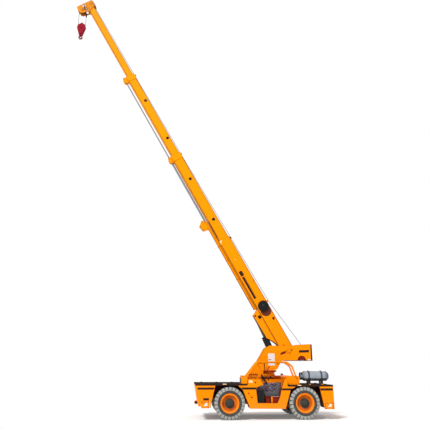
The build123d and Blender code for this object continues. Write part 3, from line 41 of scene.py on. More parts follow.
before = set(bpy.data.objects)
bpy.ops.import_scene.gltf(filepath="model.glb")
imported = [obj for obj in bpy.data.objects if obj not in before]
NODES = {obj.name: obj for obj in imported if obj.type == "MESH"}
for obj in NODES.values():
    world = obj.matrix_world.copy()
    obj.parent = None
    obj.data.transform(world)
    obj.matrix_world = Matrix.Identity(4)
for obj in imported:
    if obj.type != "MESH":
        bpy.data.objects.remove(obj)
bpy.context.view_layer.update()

# Wheels
FRONT_AXLE_X, REAR_AXLE_X = 1.392, -1.053
WHEEL_Y, TYRE_R, TYRE_WIDTH = 0.985, 0.500, 0.280
LUG_DEPTH, LUG_COUNT = 0.024, 24
RIM_R, NUT_COUNT = 0.262, 10

# Carrier
BODY_HALF = 1.100
FRONT_DECK_Z, REAR_DECK_Z = 1.100, 1.060
NOSE_X, TAIL_X = 2.515, -2.014
COWL_FRONT_X, COWL_TOP_Z, HOOD_TOP_Z, HOOD_SIDE_Y = 1.010, 1.285, 1.330, -1.086
TANK_Y, TANK_Z = 0.800, 1.330
TANK_FRONT_X, TANK_REAR_X = -1.045, -1.945
GUARD_IN_Y, GUARD_OUT_Y = 0.620, 1.050

# Turret and boom
TURRET_OUT_Y = 0.202
PIVOT = Vector((-0.780, 0.0, 2.150))
BOOM_ANGLE = math.radians(61)
WINCH = Vector((-1.234, 0.0, 1.985))
LIFT_BASE = Vector((-0.370, 0.0, 1.780))
LIFT_PIN_ALONG, LIFT_PIN_BELOW = 1.620, 0.405
SECTIONS = [
    ("boom_base", 0.450, 0.340, -0.150, 4.660),
    ("boom_section_2", 0.395, 0.290, 3.900, 8.600),
    ("boom_section_3", 0.335, 0.240, 7.850, 12.690),
    ("boom_section_4", 0.270, 0.190, 11.900, 16.570),
]
SHEAVE_ALONG, SHEAVE_BELOW, GROOVE_R = 16.600, 0.370, 0.148
TOP_SHEAVE_ALONG, TOP_SHEAVE_ABOVE, TOP_GROOVE_R = 16.700, 0.062, 0.098
ROPE_R = 0.008
FALL_LENGTH = 0.900
GUIDE_ALONG, GUIDE_ABOVE = 1.875, 0.318

# The boom's own frame, as (along, across, above) its line
BOOM = Matrix.Translation(PIVOT) @ Matrix.Rotation(-BOOM_ANGLE, 4, "Y")
# Thickness of paint marks, and the two sides of the vehicle
SKIN = 0.0015
SIDES = (("left", 1), ("right", -1))

# Camera and light
CAMERA_PLACE, CAMERA_AIM, CAMERA_LENS = (2.831, 17.494, 1.547), (-0.05568, -0.95003, 0.30715), 40.0
SUN_FROM, SUN_STRENGTH, SUN_SPREAD, SKY_STRENGTH = (0.42, 0.52, 0.74), 2.8, 14, 0.52
FLOOR_FADE = (2.6, 7.0)
WHITE = (1, 1, 1, 1)


def boom_point(along, above, y=0.0):
    """A place on the boom, in the vehicle's frame."""
    return BOOM @ Vector((along, y, above))


def feed(socket, value):
    """Links a socket to another one, or sets its value."""
    if isinstance(value, bpy.types.NodeSocket):
        socket.id_data.links.new(value, socket)
    else:
        socket.default_value = value


def add_node(tree, kind, inputs=None, **settings):
    """A new shader node with its settings and inputs."""
    made = tree.nodes.new(kind)
    for key, value in settings.items():
        setattr(made, key, value)
    for key, value in (inputs or {}).items():
        feed(made.inputs[key], value)
    return made


class Look:
    """A node material, built up step by step in the object's own coordinates."""

    def __init__(self, name, colour, rough, metal=0.0):
        self.material = bpy.data.materials.new(name)
        self.material.use_nodes = True
        self.tree = self.material.node_tree
        self.shader = self.tree.nodes["Principled BSDF"]
        self.colour = (*colour, 1)
        self.height = None
        self.put("Base Color", self.colour)
        self.put("Roughness", rough)
        self.put("Metallic", metal)
        self.place = self.node("ShaderNodeTexCoord").outputs["Object"]

    def node(self, kind, inputs=None, **settings):
        return add_node(self.tree, kind, inputs, **settings)

    def put(self, socket, value):
        feed(self.shader.inputs[socket], value)
        return self

    def span(self, value, low, high, to_low=0.0, to_high=1.0):
        inputs = {"Value": value, "From Min": low, "From Max": high, "To Min": to_low, "To Max": to_high}
        return self.node("ShaderNodeMapRange", inputs).outputs["Result"]

    def grain(self, scale, detail=3.0, stretch=(1, 1, 1)):
        mapped = self.node("ShaderNodeMapping", {"Vector": self.place, "Scale": stretch}).outputs["Vector"]
        return self.node("ShaderNodeTexNoise", {"Vector": mapped, "Scale": scale,
                                                "Detail": detail}).outputs["Fac"]

    def cells(self, scale, output="Distance"):
        return self.node("ShaderNodeTexVoronoi", {"Vector": self.place, "Scale": scale}).outputs[output]

    def times(self, a, b):
        return self.node("ShaderNodeMath", {0: a, 1: b}, operation="MULTIPLY").outputs[0]

    def blend(self, factor, colour):
        mixed = self.node("ShaderNodeMix", {0: factor, 6: self.colour, 7: (*colour, 1)}, data_type="RGBA")
        self.colour = mixed.outputs[2]
        return self.put("Base Color", self.colour)

    def low_dust(self, colour, top, bottom, amount):
        """Dust that thickens towards the ground."""
        z = self.node("ShaderNodeSeparateXYZ", {"Vector": self.place}).outputs["Z"]
        fall = self.span(z, bottom, top, amount, 0.0)
        return self.blend(self.times(fall, self.span(self.grain(9.0, 6.0), 0.35, 0.7)), colour)

    def shade_under(self, down, colour, amount=0.85):
        """Painted shade on the faces that look down in the object's own frame."""
        normal = self.node("ShaderNodeTexCoord").outputs["Normal"]
        dot = self.node("ShaderNodeVectorMath", {0: normal, 1: down},
                        operation="DOT_PRODUCT").outputs["Value"]
        return self.blend(self.span(dot, 0.25, 0.70, 0.0, amount), colour)

    def rise(self, colour, bottom, top):
        """Another tint that comes in with height."""
        z = self.node("ShaderNodeSeparateXYZ", {"Vector": self.place}).outputs["Z"]
        return self.blend(self.span(z, bottom, top, 0.0, 1.0), colour)

    def edges(self, radius=0.008):
        """One along edges and zero on flats."""
        soft = self.node("ShaderNodeBevel", {"Radius": radius}, samples=4).outputs["Normal"]
        sharp = self.node("ShaderNodeNewGeometry").outputs["Normal"]
        dot = self.node("ShaderNodeVectorMath", {0: soft, 1: sharp},
                        operation="DOT_PRODUCT").outputs["Value"]
        return self.span(dot, 0.80, 0.995, 1.0, 0.0)

    def bump(self, height, strength, distance=0.002):
        inputs = {"Height": height, "Strength": strength, "Distance": distance}
        if self.height is not None:
            inputs["Normal"] = self.height
        self.height = self.node("ShaderNodeBump", inputs).outputs["Normal"]
        return self.put("Normal", self.height)


def paint(name, colour, rough=0.42, wear=0.45, dust=0.12, deep=(0.86, 0.20, 0.0), wear_and_shade=(0.30, 0.05, 0.0),
          under=(0.0, 0.0, -1.0), high=None):
    """Sprayed enamel: slow colour drift, orange peel, painted shade underneath, dirty rubbed edges and road
    dust low down.
    """
    look = Look(name, colour, rough)
    look.blend(look.span(look.grain(1.7, 5.0), 0.35, 0.75, 0.0, 0.22), deep)
    look.blend(look.span(look.grain(38.0, 2.0), 0.55, 0.9, 0.0, 0.10), [min(1.0, c * 1.15) for c in colour])
    # Painted shade: faces that look down take the dark colour that also marks worn edges
    look.shade_under(under, wear_and_shade)
    if high:
        look.rise(high, 3.0, 11.0)
    if dust:
        look.low_dust((0.42, 0.33, 0.24), 0.75, 0.25, dust)
    look.blend(look.times(look.edges(0.013), look.span(look.grain(14.0, 4.0), 0.30, 0.60, wear * 0.5,
                                                       wear)), wear_and_shade)
    look.put("Roughness", look.span(look.grain(6.0, 4.0), 0.3, 0.7, rough - 0.06, rough + 0.12))
    look.put("Specular IOR Level", 0.05)
    look.bump(look.grain(220.0, 1.0), 0.06, 0.0006)
    return look.material


def metal(name, colour, rough, streak=(1, 1, 40), metal_share=1.0):
    """Bare metal with fine streaks."""
    look = Look(name, colour, rough, metal_share)
    look.blend(look.span(look.grain(3.0, 4.0), 0.4, 0.8, 0.0, 0.35), [c * 0.72 for c in colour])
    look.put("Roughness", look.span(look.grain(20.0, 3.0, streak), 0.3, 0.7, rough * 0.75, rough * 1.4))
    look.bump(look.grain(160.0, 2.0, streak), 0.08, 0.0004)
    return look.material


def tank_look():
    """Brushed aluminium that darkens to blue grey round its ends."""
    look = Look("tank_aluminium", (0.36, 0.40, 0.44), 0.32, 0.80)
    look.blend(look.span(look.grain(3.0, 4.0), 0.4, 0.8, 0.0, 0.5), (0.20, 0.23, 0.27))
    x = look.node("ShaderNodeSeparateXYZ", {"Vector": look.place}).outputs["X"]
    look.blend(look.span(x, TANK_REAR_X + 0.16, TANK_REAR_X + 0.04, 0.0, 0.85), (0.055, 0.065, 0.150))
    look.blend(look.span(x, TANK_FRONT_X - 0.12, TANK_FRONT_X, 0.0, 0.60), (0.085, 0.080, 0.110))
    look.put("Roughness", look.span(look.grain(20.0, 3.0, (30, 1, 1)), 0.3, 0.7, 0.24, 0.44))
    look.bump(look.grain(160.0, 2.0, (30, 1, 1)), 0.08, 0.0004)
    return look.material


def rim_look():
    """Wheel enamel, with painted shade on the disc inside the flange."""
    look = Look("rim_enamel", (0.98, 0.235, 0.0), 0.42)
    dish_shade = look.node("ShaderNodeAttribute", attribute_name="dish_shade").outputs["Fac"]
    look.blend(look.span(look.grain(1.7, 5.0), 0.35, 0.75, 0.0, 0.25), (0.75, 0.12, 0.0))
    # Painted shade in the dish, mottled by noise
    look.blend(look.times(dish_shade, look.span(look.grain(6.0, 5.0), 0.25, 0.60, 0.35, 0.75)),
               (0.26, 0.045, 0.004))
    look.blend(look.times(look.edges(0.010), 0.55), (0.16, 0.03, 0.0))
    look.low_dust((0.42, 0.33, 0.24), 0.75, 0.25, 0.10)
    look.put("Roughness", look.span(look.grain(6.0, 4.0), 0.3, 0.7, 0.36, 0.54))
    look.put("Specular IOR Level", 0.10)
    look.bump(look.grain(220.0, 1.0), 0.06, 0.0006)
    return look.material


def dull(name, colour, rough, grain=90.0, bump=0.2, drift=0.3, pale=(0.35, 0.33, 0.30)):
    """Matt plastic, cast iron, rubber and undercoat."""
    look = Look(name, colour, rough)
    look.put("Specular IOR Level", 0.15)
    look.blend(look.span(look.grain(4.0, 5.0), 0.42, 0.8, 0.0, drift), pale)
    look.put("Roughness", look.span(look.grain(15.0, 3.0), 0.3, 0.7, rough - 0.08, min(1.0, rough + 0.08)))
    look.bump(look.grain(grain, 3.0), bump, 0.0012)
    return look.material


def deck_look():
    """Dark anti-slip paint with grit, scuffs and paler rubbed edges."""
    look = Look("deck_grip", (0.034, 0.029, 0.026), 0.82)
    look.put("Specular IOR Level", 0.0)
    look.blend(look.span(look.grain(2.2, 6.0), 0.45, 0.8, 0.0, 0.30), (0.085, 0.075, 0.068))
    look.blend(look.span(look.grain(26.0, 5.0, (1, 6, 1)), 0.60, 0.75, 0.0, 0.25), (0.13, 0.12, 0.11))
    look.blend(look.times(look.edges(0.004), 0.25), (0.16, 0.15, 0.14))
    look.bump(look.span(look.cells(260.0), 0.0, 0.6), 0.12, 0.0012)
    return look.material


def tyre_look():
    """Grey rubber: the rubbed tread is pale with dust and the side wall is darker."""
    look = Look("tyre_rubber", (0.055, 0.052, 0.045), 0.85)
    look.put("Specular IOR Level", 0.2)
    rubbed = look.node("ShaderNodeAttribute", attribute_name="rubbed").outputs["Fac"]
    look.blend(look.span(look.grain(7.0, 6.0), 0.35, 0.75, 0.0, 0.35), (0.12, 0.12, 0.11))
    look.blend(look.times(rubbed, look.span(look.grain(5.0, 5.0), 0.2, 0.6, 0.72, 1.0)), (0.36, 0.37, 0.35))
    look.blend(look.span(look.grain(30.0, 6.0), 0.6, 0.85, 0.0, 0.3), (0.30, 0.27, 0.23))
    look.bump(look.grain(120.0, 4.0), 0.25, 0.0015)
    return look.material


def seat_look():
    """Black seat vinyl with a fine grain."""
    look = Look("seat_vinyl", (0.050, 0.050, 0.060), 0.55)
    look.put("Specular IOR Level", 0.2)
    look.blend(look.span(look.grain(5.0, 4.0), 0.4, 0.8, 0.0, 0.4), (0.11, 0.11, 0.125))
    look.bump(look.span(look.cells(420.0), 0.0, 0.5), 0.3, 0.0007)
    look.put("Sheen Weight", 0.2)
    return look.material


def quilt_look():
    """Padded vinyl with painted pale and orange glints on its swells."""
    look = Look("quilted_mat", (0.060, 0.055, 0.080), 0.35)
    look.put("Specular IOR Level", 0.2)
    look.blend(look.span(look.grain(9.0, 4.0), 0.40, 0.65, 0.0, 0.8), (0.20, 0.18, 0.26))
    # Painted highlights and reflections: pale and orange glints spread by noise
    look.blend(look.span(look.grain(16.0, 5.0, (1, 1, 2)), 0.55, 0.64, 0.0, 0.85), (0.62, 0.56, 0.60))
    look.blend(look.span(look.grain(13.0, 4.0, (2, 1, 1)), 0.58, 0.68, 0.0, 0.8), (0.70, 0.20, 0.03))
    look.bump(look.grain(60.0, 3.0), 0.2, 0.001)
    return look.material


def rope_look():
    """Steel wire rope: slanting strands with grease between them."""
    look = Look("wire_rope", (0.115, 0.115, 0.12), 0.50, 0.25)
    wave = look.node("ShaderNodeTexWave", {"Vector": look.place, "Scale": 150.0, "Distortion": 0.0},
                     bands_direction="DIAGONAL").outputs["Fac"]
    look.blend(look.span(wave, 0.2, 0.6, 0.8, 0.0), (0.04, 0.035, 0.03))
    look.bump(wave, 0.8, 0.002)
    return look.material


def lens_look():
    """Ribbed clear glass over a bright reflector."""
    look = Look("lamp_lens", (0.86, 0.86, 0.80), 0.08)
    ribs = look.node("ShaderNodeTexWave", {"Vector": look.place, "Scale": 38.0},
                     bands_direction="Y").outputs["Fac"]
    look.blend(look.span(ribs, 0.2, 0.9, 0.5, 0.0), (0.45, 0.46, 0.48))
    look.bump(ribs, 0.6, 0.002)
    look.put("Coat Weight", 1.0)
    return look.material


ORANGE = (1.0, 0.262, 0.0)
BOOM_DOWN = (math.sin(BOOM_ANGLE), 0.0, -math.cos(BOOM_ANGLE))
MATERIALS = {
    "body": paint("body_enamel", ORANGE),
    # The boom's near-black colour is painted shade on its underside; on its edges it is partly wear and
    # partly painted shade along the outline
    "boom": paint("boom_enamel", (1.0, 0.290, 0.0), dust=0.0, deep=(0.92, 0.23, 0.0),
                  wear_and_shade=(0.050, 0.020, 0.004),
                  under=BOOM_DOWN, high=(1.0, 0.355, 0.0), wear=0.75),
    "head": paint("head_enamel", (0.80, 0.27, 0.012), 0.45, 0.8, 0.0, (0.36, 0.08, 0.0), (0.07, 0.02, 0.0)),
    "rim": rim_look(),
    "red": dull("red_enamel", (0.34, 0.012, 0.002), 0.40, 80.0, 0.08, 0.25, (0.35, 0.02, 0.0)),
    "brown": dull("brown_black", (0.020, 0.009, 0.005), 0.50, 90.0, 0.1, 0.25, (0.07, 0.03, 0.015)),
    "red_brown": dull("red_brown_iron", (0.13, 0.028, 0.012), 0.55, 70.0, 0.25, 0.35, (0.06, 0.012, 0.006)),
    "cream": dull("cream_plate", (0.95, 0.66, 0.36), 0.45, 200.0, 0.05, 0.2, (0.80, 0.50, 0.22)),
    "quilt": quilt_look(),
    "frame": dull("frame_black", (0.022, 0.021, 0.020), 0.62, 60.0),
    # Painted shade: the insides of the wheel arches are drawn near-black red
    "arch_shade": dull("arch_shade_red", (0.075, 0.012, 0.004), 0.70, 60.0, 0.2, 0.25, (0.16, 0.05, 0.02)),
    "axle": dull("axle_iron", (0.045, 0.042, 0.038), 0.70, 45.0, 0.35),
    "hub": dull("hub_iron", (0.040, 0.040, 0.034), 0.60, 60.0, 0.3, 0.35, (0.12, 0.11, 0.09)),
    "black": dull("black_enamel", (0.012, 0.012, 0.013), 0.34, 120.0, 0.08, 0.15, (0.06, 0.06, 0.06)),
    "plastic": dull("black_plastic", (0.007, 0.007, 0.008), 0.55, 300.0, 0.25, 0.2, (0.03, 0.03, 0.03)),
    "dark_red": dull("dark_red_enamel", (0.22, 0.012, 0.004), 0.45, 80.0, 0.1, 0.3, (0.12, 0.01, 0.0)),
    "crimson": paint("block_crimson", (0.34, 0.006, 0.022), 0.38, 0.5, 0.0, (0.18, 0.0, 0.010),
                     (0.05, 0.0, 0.0)),
    "sheave": dull("sheave_iron", (0.16, 0.045, 0.02), 0.55, 60.0, 0.3, 0.4, (0.05, 0.03, 0.02)),
    "engine": dull("engine_iron", (0.05, 0.05, 0.05), 0.65, 30.0, 0.6),
    "chrome": metal("chrome_rod", (0.34, 0.36, 0.40), 0.20),
    "oiled_rod": metal("oiled_rod", (0.09, 0.085, 0.08), 0.22),
    "steel": metal("bright_steel", (0.55, 0.55, 0.56), 0.30),
    "tank": tank_look(),
    "strap": metal("polished_strap", (0.10, 0.11, 0.14), 0.25, (1, 20, 1)),
    "white": dull("blank_plate", (0.78, 0.77, 0.75), 0.45, 200.0, 0.05, 0.2, (0.60, 0.59, 0.57)),
    "deck": deck_look(),
    "tyre": tyre_look(),
    "seat": seat_look(),
    "rope": rope_look(),
    "lens": lens_look(),
}


# The material slot that each look goes to, where a piece names no other
SLOTS = {"black": "black_steel", "brown": "black_steel", "strap": "black_steel", "axle": "axle_paint",
         "hub": "axle_paint", "body": "body_paint", "boom": "boom_paint", "frame": "frame_paint",
         "rim": "rim_paint", "red": "dark_red", "dark_red": "dark_red", "red_brown": "sheave",
         "white": "lamp", "cream": "lamp", "lens": "lamp", "rope": "rope", "steel": "rope", "deck": "deck",
         "crimson": "block_red", "tyre": "tyre", "seat": "seat", "quilt": "seat",
         "plastic": "black_plastic", "tank": "tank"}


class Shape:
    """Collects the faces of one piece; place brings them into the vehicle's frame."""

    def __init__(self, place=None):
        self.points = []
        self.faces = []
        self.place = place or Matrix.Identity(4)

    def skin(self, rows, ring=True, loop=False, caps=True):
        """Faces between rows of points; a ring closes each row, a loop joins last row to first."""
        start, width = len(self.points), len(rows[0])
        for row in rows:
            self.points.extend(self.place @ Vector(point) for point in row)
        for i in range(len(rows) if loop else len(rows) - 1):
            a, b = start + i * width, start + ((i + 1) % len(rows)) * width
            for j in range(width if ring else width - 1):
                k = (j + 1) % width
                self.faces.append((a + j, a + k, b + k, b + j))
        if caps and not loop:
            self.faces.append(tuple(range(start, start + width)))
            self.faces.append(tuple(start + (len(rows) - 1) * width + j for j in range(width)))
        return self

    def join(self, other):
        """Takes in the faces of another shape."""
        start = len(self.points)
        self.points.extend(other.points)
        self.faces.extend(tuple(start + index for index in face) for face in other.faces)
        return self

    def block(self, low, high):
        """A box between two corners."""
        x0, y0, z0 = low
        x1, y1, z1 = high
        rows = [[(x0, y0, z), (x1, y0, z), (x1, y1, z), (x0, y1, z)] for z in (z0, z1)]
        return self.skin(rows)

    def plate(self, outline, y0, y1):
        """A plate cut to (x, z) points between two values of y."""
        return self.skin([[(x, y, z) for x, z in outline] for y in (y0, y1)])

    def turned(self, profile, centre, axis="Y", steps=48, closed=True):
        """A closed (radius, along) outline turned about an axis through centre."""
        cx, cy, cz = centre
        rows = []
        for step in range(steps):
            angle = math.tau * step / steps
            c, s = math.cos(angle), math.sin(angle)
            row = []
            for radius, along in profile:
                a, b = radius * c, radius * s
                point = {"X": (along, a, b), "Y": (a, along, b), "Z": (a, b, along)}[axis]
                row.append((cx + point[0], cy + point[1], cz + point[2]))
            rows.append(row)
        return self.skin(rows, ring=closed, loop=True)

    def tube(self, points, radius, sides=10, caps=True):
        """A round bar along points, kept from twisting."""
        points = [Vector(p) for p in points]
        rows = []
        side = None
        for i, point in enumerate(points):
            ahead = points[min(i + 1, len(points) - 1)] - points[max(i - 1, 0)]
            ahead.normalize()
            if side is None:
                side = ahead.orthogonal().normalized()
            side = (side - ahead * side.dot(ahead)).normalized()
            up = ahead.cross(side)
            turns = [math.tau * j / sides for j in range(sides)]
            rows.append([point + (side * math.cos(t) + up * math.sin(t)) * radius for t in turns])
        return self.skin(rows, caps=caps)

    def bolts(self, places, axis, size=0.012, height=0.008):
        """Hexagon heads on a face whose outward direction is axis."""
        axis = Vector(axis).normalized()
        side = axis.orthogonal().normalized()
        up = axis.cross(side)
        for place in places:
            rows = []
            for lift, shrink in ((-0.001, 1.25), (0.0015, 1.25), (0.0016, 1.0), (height * 0.85, 1.0),
                                 (height, 0.85)):
                ring = [Vector(place) + axis * lift + (side * math.cos(math.tau * j / 6) + up
                                                       * math.sin(math.tau * j / 6)) * size * shrink
                                                       for j in range(6)]
                rows.append(ring)
            self.skin(rows)
        return self

    def done(self, name, body, look, bevel=0.0, smooth=True, segments=2, sharp=35, slot=None):
        """Makes the piece, lets it ride on a body and gives it its look."""
        mesh = bpy.data.meshes.new(name)
        mesh.from_pydata([tuple(p) for p in self.points], [], self.faces)
        work = bmesh.new()
        work.from_mesh(mesh)
        bmesh.ops.remove_doubles(work, verts=work.verts, dist=1e-5)
        bmesh.ops.dissolve_degenerate(work, edges=work.edges, dist=1e-6)
        bmesh.ops.recalc_face_normals(work, faces=work.faces)
        work.to_mesh(mesh)
        work.free()
        if smooth:
            mesh.polygons.foreach_set("use_smooth", [True] * len(mesh.polygons))
            mesh.set_sharp_from_angle(angle=math.radians(sharp))
        piece = bpy.data.objects.new(name, mesh)
        bpy.context.scene.collection.objects.link(piece)
        mesh.materials.append(MATERIALS[look])
        if bevel:
            rounding = piece.modifiers.new("rounding", "BEVEL")
            rounding.width = bevel
            rounding.segments = segments
            rounding.limit_method = "ANGLE"
            rounding.angle_limit = math.radians(30)
        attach(piece, body)
        slot = slot or SLOTS[look]
        return piece


def arc(centre, radius, start, end, steps):
    """Points on an upright circle in x and z, from one angle to another in degrees."""
    cx, cy, cz = centre
    angles = [math.radians(start + (end - start) * i / steps) for i in range(steps + 1)]
    return [Vector((cx + radius * math.cos(a), cy, cz + radius * math.sin(a))) for a in angles]


def curve_points(corners, steps=10):
    """A smooth line through given corners, by quadratic blends round each one."""
    corners = [Vector(c) for c in corners]
    points = [corners[0]]
    for i in range(1, len(corners) - 1):
        start = (corners[i - 1] + corners[i]) / 2 if i > 1 else corners[0].lerp(corners[1], 0.5)
        end = (corners[i] + corners[i + 1]) / 2
        for k in range(steps + 1):
            t = k / steps
            points.append(start * (1 - t) ** 2 + corners[i] * 2 * t * (1 - t) + end * t ** 2)
    points.append(corners[-1])
    return points


NODE_LOOKS = {
    "deck": ["front_deck", "rear_deck"],
    "arch_shade": ["wheel_arches"],
    "frame": ["chassis_frame"],
    "axle": ["front_axle", "rear_axle"],
    "plastic": ["side_console", "steering_wheel"],
    "black": ["steering_column", "lift_barrel", "tank_cradle", "tail_bumper"],
    "dark_red": ["seat_base", "winch_drum"],
    "head": ["boom_head"],
    "engine": ["engine_block"],
    "lens": ["headlamps"],
    "tank": ["gas_tank"],
    "sheave": ["head_sheaves"],
    "oiled_rod": ["lift_rod"],
    "chrome": ["telescope_rod_1", "telescope_rod_2"],
    "crimson": ["hook_block", "hook"],
    "rope": ["hoist_falls"],
    "boom": ["boom_base", "boom_section_2", "boom_section_3", "boom_section_4", "telescope_barrel",
             "turret"],
}


def dress_nodes():
    """Every solid that stays in view gets its own finish."""
    chosen = {node: look for look, nodes in NODE_LOOKS.items() for node in nodes}
    for name, node in NODES.items():
        look = chosen.get(name, "body")
        if name.startswith("knuckle"):
            look = "axle"
        if name == "cable_reel":
            look = "plastic"
        node.data.materials.clear()
        node.data.materials.append(MATERIALS[look])


def make_tyre(end, x, side_name, side):
    """Block tread that wraps over the shoulders of a rounded casing."""
    half = TYRE_WIDTH / 2
    centre = (x, side * WHEEL_Y, TYRE_R)
    root = TYRE_R - LUG_DEPTH
    wall = [(RIM_R + 0.001, 0.112), (0.285, 0.124), (0.308, 0.128), (0.318, 0.133), (0.360, 0.138),
            (0.366, 0.1395), (0.374, 0.1395), (0.380, 0.138), (0.420, 0.137), (0.452, 0.128),
            (0.474, 0.112), (root, 0.080)]
    profile = [(r, a) for r, a in wall] + [(r, -a) for r, a in reversed(wall)]
    shape = Shape().turned(profile, centre, "Y", 96)
    casing = len(shape.points)
    # Each lug runs from near the centre line over the shoulder,
    # as (across, inner radius, outer radius, width share)
    stations = [(0.010, root - 0.012, TYRE_R - 0.0005, 0.66), (0.060, root - 0.012, TYRE_R - 0.0005, 0.68),
                (0.106, root - 0.030, TYRE_R - 0.0050, 0.76), (0.127, 0.440, TYRE_R - 0.0170, 0.80),
                (0.1385, 0.405, 0.462, 0.86), (0.1395, 0.395, 0.420, 0.90)]
    pitch = math.tau / LUG_COUNT
    for row, hand in enumerate((1, -1)):
        for number in range(LUG_COUNT):
            middle = pitch * (number + 0.5 * row)
            rows = []
            for across, inner, outer, share in stations:
                turn = middle + pitch * 0.16 * (across / half)
                spread = pitch * share / 2
                ring = []
                for angle, radius in ((turn - spread, inner), (turn - spread * 0.93, outer),
                                      (turn, outer + 0.0004), (turn + spread * 0.93, outer),
                                      (turn + spread, inner)):
                    ring.append((x + radius * math.cos(angle), side * WHEEL_Y + hand * across,
                                 TYRE_R + radius * math.sin(angle)))
                rows.append(ring)
            shape.skin(rows)
    name = f"{end}_{side_name}"
    tyre = shape.done(f"tyre_tread_{name}", f"wheel_{name}", "tyre", 0.0, True, sharp=30)
    rubbed = tyre.data.attributes.new("rubbed", "FLOAT", "POINT")
    rubbed.data.foreach_set("value", [float(index >= casing) for index in range(len(tyre.data.vertices))])
    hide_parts(f"tyre_{name}")


def make_rim(end, x, side_name, side):
    """Dished steel disc in a flanged band, a cast hub with its nuts, and a valve stem."""
    centre = (x, side * WHEEL_Y, TYRE_R)
    name = f"{end}_{side_name}"
    body = f"wheel_{name}"
    rim = [(0.254, -0.132), (0.300, -0.138), (0.303, -0.134), (0.300, -0.130), (0.276, -0.126),
           (0.262, -0.116), (0.262, 0.116), (0.276, 0.126), (0.300, 0.130), (0.303, 0.134), (0.300, 0.138),
           (0.272, 0.137), (0.254, 0.122), (0.246, 0.080), (0.232, 0.056), (0.205, 0.046), (0.165, 0.050),
           (0.145, 0.052), (0.145, 0.040), (0.165, 0.036), (0.205, 0.032), (0.240, 0.034), (0.254, 0.020)]
    shape = Shape().turned([(r, side * a) for r, a in rim], centre, "Y", 72)
    band = shape.done(f"rim_{name}", body, "rim", 0.0, True)
    # Painted shade: the disc inside the flange is drawn darker than the flange itself
    dish_shade = band.data.attributes.new("dish_shade", "FLOAT", "POINT")
    dish_shade.data.foreach_set("value", [float(math.hypot(v.co.x - x, v.co.z - TYRE_R) < 0.236)
                                      for v in band.data.vertices])
    hub = [(0.0, -0.058), (0.118, -0.058), (0.122, 0.020), (0.150, 0.026), (0.152, 0.064), (0.128, 0.072),
           (0.104, 0.080), (0.098, 0.104), (0.072, 0.112), (0.066, 0.122), (0.048, 0.126), (0.0, 0.127)]
    shape = Shape().turned([(r, side * a) for r, a in hub], centre, "Y", 48)
    shape.bolts(around((x, side * (WHEEL_Y + 0.066), TYRE_R), 0.136, NUT_COUNT), (0, side, 0), 0.013, 0.022)
    cap_bolts = around((x, side * (WHEEL_Y + 0.108), TYRE_R), 0.084, 6, start=math.pi / 6)
    shape.bolts(cap_bolts, (0, side, 0), 0.007, 0.006)
    shape.done(f"hub_{name}", body, "hub", 0.0015)
    stem = Shape().tube(curve_points([(x + 0.225, side * (WHEEL_Y + 0.05), TYRE_R),
                                      (x + 0.222, side * 1.085, TYRE_R),
                                      (x + 0.212, side * 1.105, TYRE_R)]), 0.005, 8)
    stem.done(f"valve_stem_{name}", body, "black", slot="rubber")
    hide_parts(f"wheel_{name}")


def make_wheels():
    for end, x in (("front", FRONT_AXLE_X), ("rear", REAR_AXLE_X)):
        for side_name, side in SIDES:
            make_tyre(end, x, side_name, side)
            make_rim(end, x, side_name, side)


def make_seat():
    """Cushion and backrest in sewn vinyl, inflated a little by simulation."""
    low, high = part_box("seat_cushions")
    for name, outline, y0, y1 in (("seat_cushion", [(-0.138, 0.712), (-0.138, 0.805), (0.190, 0.824),
                                                    (0.234, 0.806), (0.234, 0.724), (0.194, 0.712)],
                                                    low.y + 0.008, high.y - 0.008),
                                                    ("seat_backrest", [(-0.230, 0.714), (-0.320, 1.143),
                                                                       (-0.268, 1.155), (-0.222, 1.014),
                                                                       (-0.164, 0.832), (-0.162, 0.714)],
                                                                       low.y + 0.013, high.y - 0.013)):
        piece = Shape().plate(outline, y0, y1).done(name, "carrier", "seat", 0.0)
        puff_up(piece)
        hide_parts("seat_cushions")


def puff_up(piece):
    """Rounds the pad by smoothing and a short pressure run."""
    bpy.context.view_layer.objects.active = piece
    remesh = piece.modifiers.new("even", "REMESH")
    remesh.mode = "VOXEL"
    remesh.voxel_size = 0.009
    smooth = piece.modifiers.new("round", "SMOOTH")
    smooth.factor = 0.6
    smooth.iterations = 12
    bake(piece)
    start = [v.co.copy() for v in piece.data.vertices]
    cloth = piece.modifiers.new("pad", "CLOTH")
    cloth.settings.use_pressure = True
    cloth.settings.uniform_pressure_force = 4.0
    cloth.settings.effector_weights.gravity = 0.0
    for number in range(1, 16):
        bpy.context.scene.frame_set(number)
    bake(piece)
    bpy.context.scene.frame_set(1)
    limit = 0.010
    for vertex, rest in zip(piece.data.vertices, start):
        move = vertex.co - rest
        if move.length > limit:
            vertex.co = rest + move.normalized() * limit
    for vertex in piece.data.vertices:
        seam = math.cos(vertex.co.y * math.tau / 0.100)
        vertex.co += vertex.normal * (-0.0035 * max(0.0, seam) ** 12)
    piece.data.polygons.foreach_set("use_smooth", [True] * len(piece.data.polygons))
    finer = piece.modifiers.new("fine", "SUBSURF")
    finer.levels = finer.render_levels = 1


def bake(piece):
    """Turns a piece's modifiers into its mesh."""
    graph = bpy.context.evaluated_depsgraph_get()
    mesh = bpy.data.meshes.new_from_object(piece.evaluated_get(graph))
    old = piece.data
    piece.modifiers.clear()
    piece.data = mesh
    bpy.data.meshes.remove(old)


def tangent_angle(a, ra, b, rb):
    """Angle of the normal shared by two circles on the side of their outer tangent above."""
    d = b - a
    line = math.atan2(d.z, d.x)
    return line + math.acos((ra - rb) / math.hypot(d.x, d.z))


def rope_line(start, end, steps=2):
    """Points along a straight run of rope."""
    return [start.lerp(end, i / steps) for i in range(steps + 1)]


